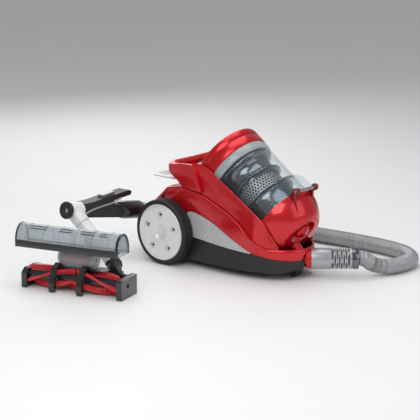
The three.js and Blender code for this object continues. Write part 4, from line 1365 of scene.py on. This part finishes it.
@dataclass(frozen=True)
class Pedals:
    """The two pale pedals over the rear deck, for the cord and for the power."""

    back: float = -212.0
    pivot: float = -124.0
    z: float = 208.0
    inner: float = 38.0
    outer: float = 91.7

    def build(self) -> None:
        """Builds both pedals."""
        for side in Side:
            form = Form()
            low, high = self.inner, self.outer
            corners = self._outline(low, high)
            form.loft([[(x, y, self.z + u) for x, y in corners] for u in (0.4, 4.4)])
            for x in spread(self.back + 16, self.back + 40, 5):
                form.block((x - 1, low + 9, self.z + 4), (x + 1, high - 9, self.z + 5.4), None, 0.5)
            if side is Side.RIGHT:
                form.mirrored()
            node = f"{side.word}_pedal"
            piece(f"{node}_top", form, Finish.FROSTED, at(node), "frosted", [node], Trim(1.2, 3, 35))

    def _outline(self, low: float, high: float) -> list[tuple[float, float]]:
        """Gives the plan of a pedal, its back corners well rounded.

        Args:
            low: The inner edge.
            high: The outer edge.

        Returns:
            The corners.
        """
        r = 12.0
        found = [(self.pivot - 10, low), (self.back + r, low)]
        for y, a0 in ((low + r, math.pi * 1.5), (high - r, math.pi)):
            for k in range(7):
                a = a0 - k * math.pi / 12
                found.append((self.back + r + r * math.cos(a), y + r * math.sin(a)))
        return found + [(self.pivot - 10, high)]


@dataclass(frozen=True)
class Bin:
    """The dust bin: lid, clear body, cyclone and the red cup with its button."""

    lid_r: float = 91.0
    ring_r: float = 90.0
    body_r: float = 88.0
    cup_h: float = 66.0
    cup_at: float = 228.0
    button_r: float = 20.0
    rise: float = 15.0
    ear_y: float = 34.0
    steps: int = 144

    def build(self) -> None:
        """Builds the bin from its lid down."""
        self._lid()
        self._body()
        self._cyclone()
        self._cup()
        self._button()

    def dress(self) -> None:
        """Finishes the pieces that keep their shape."""
        dress(Finish.PAPER, "pre_filter")
        soften(Finish.DARK, 0.4, "bin_gasket")
        soften(Finish.STEEL, 0.4, "cup_hinge_pin")

    def _turned(
        self, name: str, profile: Sequence[Point], finish: Finish, slot: str, node: str, wrap: float = 0.0,
    ) -> None:
        """Adds a piece turned about the bin's axis in place of a CAD node.

        Args:
            name: The piece's name.
            profile: Its [radius, height] points.
            finish: What it is made of.
            slot: The record's material slot.
            node: The CAD node it stands for.
            wrap: The radius that a pattern is wrapped at, or 0 for none.
        """
        form = Form().lathe(profile, BIN, self.steps)
        if wrap:
            form.wrap(BIN, wrap)
        piece(name, form, finish, at(node), slot, [node], Trim(angle=38))

    def _lid(self) -> None:
        """Builds the lid's cap and band, with the fine seam between them."""
        r = self.lid_r
        cap = [
            (0, 1.6), (40, 1.3), (70, 0.8), (80, 0.7), (85, 1.4), (88.4, 3.4), (90.3, 6.4), (r, 10),
            (r, 22.8),
            (r - 0.5, 23.5), (87.5, 23.6), (86.8, 12), (84, 7.6), (78, 6), (0, 6),
        ]
        band = [
            (86.5, 24.4), (r - 0.5, 24.4), (r, 25.1), (r, 45.6), (r - 0.4, 47), (r - 1.4, 47.8), (86.5, 47.8),
            (86.5, 24.4),
        ]
        ring = [
            (84.5, 48.5), (88.6, 48.5), (self.ring_r - 0.4, 50), (self.ring_r, 53), (self.ring_r, 63.4),
            (self.ring_r - 0.6, 66.4), (self.ring_r - 2, 68.4), (self.ring_r - 3, 69.6), (84.5, 69.6),
            (84.5, 48.5),
        ]
        self._turned("lid_dome", cap, Finish.LID_RED, "red", "lid_cap")
        self._turned("lid_rim", band, Finish.LID_RED, "red", "lid_band")
        self._turned("bin_collar", ring, Finish.RING, "clear", "bin_ring")

    def _body(self) -> None:
        """Builds the clear body, with the arch that carries the cup's hinge."""
        r, wall = self.body_r, 2.6
        body = [
            (r - wall, 70.2), (r - 0.4, 70.2), (r, 70.8), (r, 80), (r, 120), (r, 180), (r, 226),
            (r - 0.6, 227.4),
            (r - wall, 227.4), (r - wall, 180), (r - wall, 120), (r - wall, 80), (r - wall, 70.2),
        ]
        form = Form().lathe(body, BIN, self.steps)
        knots = ((-86, 0, 176), (-97, 0, 184), (-106, 0, 200), (-108.5, 0, 218), (-109, 0, 238))
        arch = smooth_path(knots, 3)
        sections = []
        for i, p in enumerate(arch):
            ahead = (arch[min(i + 1, len(arch) - 1)] - arch[max(i - 1, 0)]).normalized()
            out = Vector((ahead.z, 0, -ahead.x)) * -1
            w = 22 + 5 * min(1.0, i / 12)
            loop = [
                (-w, 0.6), (-w + 1.4, 2.4), (-8, 3.4), (8, 3.4), (w - 1.4, 2.4), (w, 0.6), (w - 2, -1),
                (-w + 2, -1),
            ]
            sections.append([p + out * h + Vector((0, y, 0)) for y, h in loop])
        form.loft(sections, BIN)
        piece("bin_window", form, Finish.CLEAR, at("bin_body"), "clear", ["bin_body"], Trim(angle=38))

    def _cyclone(self) -> None:
        """Builds the cyclone inside: smoked shroud, screen and cone."""
        shroud = [
            (20, 73), (80.6, 73), (81.5, 75), (81, 78), (75, 81.4), (69.5, 86), (66.8, 92), (66, 98),
            (66, 108),
            (67.4, 113), (71, 117.6), (75.6, 120), (76.2, 121.6), (75.4, 122.8), (70, 123.4), (66.4, 124.4),
            (65.6, 127.2), (62.8, 127.2), (62.8, 92), (58, 80), (20, 80), (20, 73),
        ]
        screen = [(62, 127.8), (62, 134), (62, 150), (62, 165.6), (59.2, 165.6), (59.2, 127.8), (62, 127.8)]
        cone = [
            (60, 166), (65.6, 166), (70, 167.4), (75.4, 169.8), (76, 171.2), (75, 172.4), (70.6, 173),
            (67.4, 175.6),
            (66.2, 180), (66.6, 192), (68.4, 210), (70, 222), (70, 226), (66.4, 226), (63, 200),
            (61, 176), (60, 166),
        ]
        self._turned("cyclone_drum", shroud, Finish.SMOKE, "smoke", "cyclone_shroud")
        self._turned("cyclone_screen", screen, Finish.MESH, "steel", "cyclone_mesh", 62.0)
        self._turned("cyclone_foot", cone, Finish.SMOKE, "smoke", "cyclone_cone")

    def _cup(self) -> None:
        """Builds the cup: a rounded bowl with a deep recess for the button, two ears and their fins."""
        shares = Track(((0, 91.0), (13, 90.1), (30, 84.6), (50, 72.8), (60, 63.5), (65, 56.5), (66, 53)))
        steps = (0, 1.5, 5, 10, 16, 22, 28, 34, 40, 46, 51, 56, 60, 63, 65)
        outer = [(shares(h), self.cup_at + 0.4 + h) for h in steps]
        end = self.cup_at + self.cup_h
        rim = (outer[0][0] - 3.6, outer[0][1])
        inner = [(r - 4, z - 1.4) for r, z in reversed(outer[3:-3])]
        floor = end - 13.6
        profile = [rim, *outer, (50, end), (0, end), (0, floor), (56, floor), *inner, rim]
        recess = [
            (0, end - 12), (self.button_r + 2, end - 12), (self.button_r + 6, end - 10),
            (self.button_r + 11, end - 5),
            (self.button_r + 17, end + 0.8), (self.button_r + 20, end + 5), (0, end + 5),
        ]
        way = Form().lathe(recess, BIN @ Matrix.Translation((-self.rise, 0, 0)), 64)
        form = Form().lathe(profile, BIN, self.steps)
        trim = Trim(angle=34, cuts=(way,))
        piece("cup_bowl", form, Finish.RED, at("bin_cup"), "red", ["bin_cup"], trim)
        ears = Form()
        for s in (-1, 1):
            self._ear(ears, s * self.ear_y)
        piece("cup_ears", ears, Finish.DEEP_RED, at("bin_cup"), "red", (), Trim(angle=34))

    def _ear(self, form: Form, y: float) -> None:
        """Adds one ear: a knob about the hinge pin, over a fin that runs down the cup.

        Args:
            form: What it is added to.
            y: The ear's distance from the middle.
        """
        knob = BIN @ Matrix.Translation((-108, y, 238)) @ Matrix.Rotation(math.pi / 2, 4, "X")
        round_knob = [
            (4.6, -4.6), (7, -4.8), (8.2, -3.4), (8.6, 0), (8.2, 3.4), (7, 4.8), (4.6, 4.6), (4.6, -4.6),
        ]
        form.lathe(round_knob, knob, 40)
        at_y = abs(y)
        spine = []
        for h in spread(1, 44, 14):
            r = Track(((0, 91.0), (13, 90.1), (30, 84.6), (50, 72.8)))(h)
            seat = -math.sqrt(max(1.0, r * r - at_y * at_y))
            stand = 24 * (1 - min(1.0, max(0.0, h - 6) / 16)) ** 1.6 + 2.4 * (1 - h / 46)
            spine.append((seat, stand, self.cup_at + h))
        sections = []
        for seat, stand, z in spine:
            w = 3.2
            low, high = seat + 3, min(seat - stand, seat - 0.3)
            sections.append([Vector(p) for p in (
                (low, y - w, z), (high + 1, y - w, z), (high, y - w + 1, z), (high, y + w - 1, z),
                (high + 1, y + w, z),
                (low, y + w, z),
            )])
        form.loft(sections, BIN)

    def _button(self) -> None:
        """Builds the domed button that lets the cup open."""
        end, r = self.cup_at + self.cup_h, self.button_r
        dome = [
            (0, end - 7.4), (r, end - 7.4), (r, end - 0.6), (r - 0.7, end + 0.8), (r - 3, end + 2.4),
            (r - 8, end + 4.6),
            (r - 14, end + 6.2), (0, end + 6.9),
        ]
        form = Form().lathe(dome, BIN @ Matrix.Translation((-self.rise, 0, 0)), 72)
        piece("button_dome", form, Finish.LID_RED, at("cup_button"), "red", ["cup_button"], Trim(angle=38))


@dataclass(frozen=True)
class Cuff:
    """The swivelling cuff at the inlet: a smooth sleeve, a slotted flexing part and a collar."""

    radius: float = 26.0
    start: float = 12.6
    flex: float = 62.0
    flex_end: float = 106.0
    end: float = 112.2
    collar_end: float = 128.2
    ribs: int = 8

    def build(self) -> None:
        """Builds the cuff."""
        r = self.radius
        sleeve = [
            (17, self.start), (r - 1.4, self.start), (r - 0.2, self.start + 1), (r, self.start + 3),
            (r, self.flex - 2),
            (r - 0.6, self.flex), (17, self.flex), (17, self.start),
        ]
        lip = [
            (17, self.flex_end), (r - 0.6, self.flex_end), (r, self.flex_end + 0.8), (r, self.end - 0.8),
            (r - 0.6, self.end), (17, self.end), (17, self.flex_end),
        ]
        form = Form().lathe(sleeve, INLET, 96).lathe(lip, INLET, 96)
        pitch = (self.flex_end - self.flex) / self.ribs
        for i in range(self.ribs):
            z = self.flex + pitch * i
            if i:
                rib = [
                    (21.5, z - 1.3), (r - 0.8, z - 1.3), (r - 0.2, z), (r - 0.8, z + 1.3), (21.5, z + 1.3),
                    (21.5, z - 1.3),
                ]
                form.lathe(rib, INLET, 72)
            for k in range(4):
                turn = Matrix.Rotation(math.pi / 2 * (k + (i % 2) / 2), 4, "Z")
                form.block((21.5, -5, z), (r - 1, 5, z + pitch), INLET @ turn)
        piece("cuff_sleeve", form, Finish.SILVER, at("hose_cuff"), "silver", ["hose_cuff"], Trim(angle=36))
        core = [
            (17.2, self.flex), (21.8, self.flex), (21.8, self.flex_end), (17.2, self.flex_end),
            (17.2, self.flex),
        ]
        piece("cuff_core", Form().lathe(core, INLET, 64), Finish.DARK, at("hose_cuff"), "black")
        low, high = self.end + 0.6, self.collar_end
        collar = [
            (19.4, low), (r - 1, low), (r - 1, low + 2.4), (r + 0.4, low + 3), (r + 0.4, high - 2),
            (r - 1, high),
            (19.4, high), (19.4, low),
        ]
        form = Form().lathe(collar, INLET, 96)
        piece("collar_ring", form, Finish.SMOKE, at("cuff_collar"), "silver", ["cuff_collar"], Trim(angle=36))


@dataclass(frozen=True)
class Hose:
    """The corrugated hose, from the cuff round behind the body to the grip."""

    radius: float = 19.0
    valley: float = 17.0
    pitch: float = 5.2
    sides: int = 24
    route: tuple[tuple[float, float, float], ...] = (
        (321, 126, 31), (341, 162, 21), (350, 210, 19.6), (336, 262, 19.6), (292, 296, 19.6),
        (225, 308, 19.6),
        (138, 306, 19.6), (40, 294, 19.6), (-40, 282, 19.6), (-120, 264, 19.6), (-190, 228, 19.6),
        (-240, 170, 19.6),
        (-262, 100, 20), (-268, 30, 34), (-263, -35, 68),
    )

    def build(self) -> None:
        cuff_end = Cuff().collar_end + 0.6
        ends = [INLET @ Vector((0, 0, z)) for z in (cuff_end, cuff_end + 12)]
        tail = [GRIP @ Vector((0, 0, z)) for z in (-14, -0.4)]
        step = self.pitch / 6
        line = smooth_path([*ends, *self.route, *tail], step)
        low, high = self.valley, self.radius
        wave = (low, low + 0.5, high - 0.4, high, high, high - 0.4)
        radii = [wave[i % len(wave)] for i in range(len(line))]
        form = Form().tube(line, radii, self.sides)
        made = piece("hose_tube", form, Finish.HOSE, at("hose"), "silver", ["hose"], Trim(angle=60))
        places = [TO_ROW @ p for p in line[::3]] + [TO_ROW @ line[-1]]
        length = sum((b - a).length for a, b in zip(places, places[1:]))


@dataclass(frozen=True)
class Grip:
    """The hose's hand grip, the bent wand head and the short wand down to the brush."""

    half: float = 17.0

    def build(self) -> None:
        """Builds the bright strip that sweeps along each side of the grip."""
        form = Form()
        for s in (-1, 1):
            x = s * (self.half + 0.2)
            sweep = smooth_path(((x, -8, 224), (x, 3, 196), (x, 12, 160), (x, 20, 124), (x, 33, 92)), 4)
            form.tube([GRIP @ p for p in sweep], [1.0, *[2.3] * (len(sweep) - 2), 1.0], 14)
        piece("grip_strip", form, Finish.SILVER, at("grip_shell"), "silver", (), Trim(angle=50))

    def dress(self) -> None:
        """Finishes every piece, its edges rounded."""
        soften(Finish.GLOSS_BLACK, 1.4, "grip_socket")
        soften(Finish.BLACK, 3.0, "grip_shell")
        soften(Finish.SILVER, 0.8, "suction_slider", "wand_latch")
        soften(Finish.WAND_WHITE, 1.6, "wand_head")
        soften(Finish.GLOSS_BLACK, 1.2, "wand_cap")
        soften(Finish.WAND_WHITE, 0.8, "wand_tube")


@dataclass(frozen=True)
class Brush:
    """The powered floor brush: base, bristle roll, air turbine and clear hood."""

    half: float = 137.0
    end: float = 14.0
    roll_y: float = -6.0
    roll_z: float = 29.0
    core_r: float = 12.0
    tip_r: float = 25.6
    rows: int = 4
    tufts: int = 27
    twist: float = 0.017
    hood_x: float = -16.0
    hood_y: float = 2.0
    hood_low: float = 98.4
    hood_r: float = 30.0
    hood_h: float = 52.0
    hood_wall: float = 2.2
    hood_skirt: float = 14.0

    def build(self) -> None:
        """Builds the roll and the hood."""
        self._roll()
        self._hood()

    def dress(self) -> None:
        """Finishes the pieces that keep their shape."""
        soften(Finish.GLOSS_BLACK, 1.2, "brush_base")
        soften(Finish.BLACK, 1.4, "brush_neck")
        soften(Finish.BLACK, 0.8, "brush_post")
        soften(Finish.HOOD, 0.4, "turbine_housing")
        soften(Finish.LID_RED, 0.6, "turbine_rotor")
        soften(Finish.STEEL, 0.5, "right_bearing", "left_bearing")

    def _roll(self) -> None:
        """Builds the roll: a black core with chevron rows of red tufts."""
        lay = BRUSH @ Matrix.Translation((0, self.roll_y, self.roll_z)) @ Matrix.Rotation(math.pi / 2, 4, "Y")
        reach = self.half - self.end - 1.6
        pin = self.half - 3
        core = [
            (0, -pin), (4.6, -pin), (5, -pin + 0.6), (5, -reach), (self.core_r, -reach),
            (self.core_r, reach), (5, reach),
            (5, pin - 0.6), (4.6, pin), (0, pin),
        ]
        bristles = Form()
        for row in range(self.rows):
            for side in (-1, 1):
                for k in range(self.tufts):
                    along = 4 + (reach - 8) * k / (self.tufts - 1)
                    turn = 2 * math.pi * row / self.rows + along * self.twist
                    self._tuft(bristles, lay, side * along, turn)
        body = at("brush_roll")
        trim = Trim(angle=38)
        spindle = Form().lathe(core, lay, 32)
        piece("roll_core", spindle, Finish.GLOSS_BLACK, body, "black", ["brush_roll"], trim)
        piece("roll_bristles", bristles, Finish.BRISTLE, body, "bristle", (), Trim(angle=25))

    def _tuft(self, form: Form, lay: Matrix, along: float, turn: float) -> None:
        """Adds one tuft that fans out a little towards its tip.

        Args:
            form: What it is added to.
            lay: The roll's frame, +Z along it.
            along: The place along the roll.
            turn: The angle round it.
        """
        place = lay @ Matrix.Translation((0, 0, along)) @ Matrix.Rotation(turn, 4, "Z")
        sections = []
        for r, wide, thick in ((self.core_r - 0.5, 1.6, 1.6), (19, 2.3, 2.2), (self.tip_r, 3.0, 2.9)):
            turns = [2 * math.pi * i / 8 for i in range(8)]
            sections.append([(r, thick * math.cos(a), wide * math.sin(a)) for a in turns])
        form.loft(sections, place)

    def _hood(self) -> None:
        """Builds the clear hood: a long half tube with ribs, and a black collar at its open end."""
        low, high, r = self.hood_low, self.hood_low + self.hood_h, self.hood_r
        arc = self._arc(r, high - low)
        hollow = self._arc(r - self.hood_wall, high - low - self.hood_wall)
        loop = arc + hollow[::-1]
        x0, x1 = self.hood_x - self.half, self.hood_x + self.half
        form = Form().loft([[(x, y, z) for y, z in loop] for x in spread(x0, x1, 12)], BRUSH)
        for x in (x0, x1 - 2.4):
            form.loft([[(x + u, y, z) for y, z in hollow] for u in (0, 2.4)], BRUSH)
        for x in spread(x0 + 28, x1 - 28, 6):
            rib = self._arc(r + 0.9, high - low + 0.9)
            form.loft([[(x + u, y, z) for y, z in rib + arc[::-1]] for u in (0, 1.6)], BRUSH)
        piece("hood_shell", form, Finish.HOOD, at("brush_hood"), "clear", ["brush_hood"], Trim(angle=30))
        frame_form = Form()
        for x, deep in ((x1 - 5, 5), (x0, 3)):
            rim = self._arc(r + 1.0, high - low + 1.0)
            inner = self._arc(r - 3.4, high - low - 4)
            frame_form.loft([[(x + u, y, z) for y, z in rim + inner[::-1]] for u in (0, deep)], BRUSH)
        for y, tall in ((self.hood_y - r - 1.4, 17), (self.hood_y + r - 1.4, 6)):
            frame_form.block((x0 + 1, y, low), (x1 - 4, y + 2.8, low + tall), BRUSH, 1.2)
            groove, crest = low + tall * 0.45, low + tall * 0.62
            frame_form.block((x0 + 6, y - 0.9, groove), (x1 - 9, y + 3.4, crest), BRUSH, 0.5)
        for start, length in ((-104, 46), (-24, 34), (34, 36), (84, 20)):
            for angle in (0.95, 1.2):
                frame_form.loft(self._slot(self.hood_x + start, length, angle), BRUSH)
        piece("hood_frame", frame_form, Finish.GLOSS_BLACK, at("brush_hood"), "black", (), Trim(angle=30))

    def _slot(self, start: float, length: float, angle: float) -> list[list[tuple[float, float, float]]]:
        """Gives the ends of one dark line moulded on the near side of the hood.

        Args:
            start: Where it starts along the hood.
            length: How long it is.
            angle: How far round the hood it is.

        Returns:
            The section at each end.
        """
        loop = []
        for out, turn in ((0.7, 0), (0.7, 0.05), (-1, 0.05), (-1, 0)):
            a = angle + turn
            y = self.hood_y - (self.hood_r + out) * math.cos(a)
            rise = self.hood_h - self.hood_skirt + out
            loop.append((y, self.hood_low + self.hood_skirt + rise * math.sin(a)))
        return [[(x, y, z) for y, z in loop] for x in (start, start + length)]

    def _arc(self, r: float, h: float) -> list[tuple[float, float]]:
        """Gives the hood's section: straight skirts under a round back.

        Args:
            r: The half width.
            h: The height.

        Returns:
            The points, from one skirt to the other.
        """
        base = self.hood_low
        found = [(self.hood_y + r, base)]
        for i in range(25):
            a = math.pi * i / 24
            rise = (h - self.hood_skirt) * math.sin(a)
            found.append((self.hood_y + r * math.cos(a), base + self.hood_skirt + rise))
        return found + [(self.hood_y - r, base)]


@dataclass(frozen=True)
class Works:
    """What is inside the body: motor, fan, filter, cord reel and the caster below."""

    def dress(self) -> None:
        """Finishes every inside piece and the caster."""
        soften(Finish.STEEL, 1.0, "motor_can", "reel_axle")
        soften(Finish.BLACK, 0.8, "motor_saddle", "reel_drum")
        soften(Finish.WHITE, 0.6, "fan_impeller")
        dress(Finish.PAPER, "exhaust_filter")
        soften(Finish.BLACK, 0.8, "caster_fork")
        soften(Finish.RUBBER, 1.0, "caster_wheel")


# ---- Studio -------------------------------------------------------------------
@dataclass(frozen=True)
class Studio:
    """A pale floor, soft light and the camera."""

    target: tuple[float, float, float] = (-100.0, 2.0, 119.0)
    azimuth: float = 42.0
    elevation: float = 14.0
    distance: float = 5000.0
    lens: float = 170.5
    ambient: float = 0.34
    floor_size: float = 60.0
    floor_drop: float = 0.0004
    lamps: tuple[tuple[str, tuple[float, float, float], float, float], ...] = (
        ("key", (700, -1500, 1500), 1300, 17),
        ("fill", (1700, 200, 900), 1200, 5),
        ("top", (-200, 100, 1900), 1500, 14),
        ("back", (-1500, 900, 1100), 1200, 8),
    )

    def camera(self) -> None:
        """Places the camera in front of the body's right side, a little above it."""
        a, e = math.radians(self.azimuth), math.radians(self.elevation)
        back = Vector((math.sin(a) * math.cos(e), -math.cos(a) * math.cos(e), math.sin(e)))
        data = bpy.data.cameras.new("camera")
        data.lens = self.lens
        data.clip_end = 50
        eye = bpy.data.objects.new("camera", data)
        bpy.context.collection.objects.link(eye)
        eye.location = TO_ROW @ (Vector(self.target) + back * self.distance)
        eye.rotation_euler = back.to_track_quat("Z", "Y").to_euler()
        bpy.context.scene.camera = eye

    def build(self) -> None:
        """Builds the floor and the lights."""
        self._floor()
        for lamp in self.lamps:
            self._light(*lamp)
        world = bpy.data.worlds.new("world")
        world.use_nodes = True
        sky = world.node_tree.nodes["Background"]
        sky.inputs["Color"].default_value = (1, 1, 1, 1)
        sky.inputs["Strength"].default_value = self.ambient
        bpy.context.scene.world = world
        look = bpy.context.scene.view_settings
        look.view_transform = "Standard"
        look.look = "None"

    def _floor(self) -> None:
        """Lays a plain pale floor that the horizon hides."""
        bm = bmesh.new()
        bmesh.ops.create_grid(bm, x_segments=1, y_segments=1, size=self.floor_size)
        shape = bpy.data.meshes.new("floor")
        bm.to_mesh(shape)
        bm.free()
        floor = bpy.data.objects.new("floor", shape)
        bpy.context.collection.objects.link(floor)
        floor.location.z = -self.floor_drop
        s = Shader("floor")
        drift = s.noise(3, 2.0)
        colour = s.blend(drift, (0.9, 0.9, 0.9), (0.93, 0.93, 0.93))
        look = {"Base Color": colour, "Roughness": drift * 0.1 + 0.6}
        shape.materials.append(s.done(s.surface(look)))

    def _light(self, name: str, place: Point, size: float, power: float) -> None:
        """Hangs one soft square light that faces the body.

        Args:
            name: The lamp's name.
            place: Where it hangs, in millimetres.
            size: The length of its side, in millimetres.
            power: Its power in watts.
        """
        data = bpy.data.lights.new(name, "AREA")
        data.shape = "SQUARE"
        data.size = size * MM
        data.energy = power
        lamp = bpy.data.objects.new(name, data)
        bpy.context.collection.objects.link(lamp)
        lamp.location = TO_ROW @ Vector(place)
        away = Vector(place) - Vector((0, 0, 100))
        lamp.rotation_euler = away.to_track_quat("Z", "Y").to_euler()


def main() -> None:
    """Builds the camera, the hose, every assembly and the studio, in that order."""
    logging.basicConfig(level=logging.INFO, format="%(message)s")
    studio = Studio()
    studio.camera()
    Hose().build()
    for assembly in (Wheels(), Shells(), Handle(), Pedals(), Bin(), Cuff(), Grip(), Brush()):
        assembly.build()
    for assembly in (Wheels(), Shells(), Bin(), Grip(), Brush(), Works()):
        assembly.dress()
    studio.build()


if __name__ == "__main__":
    main()
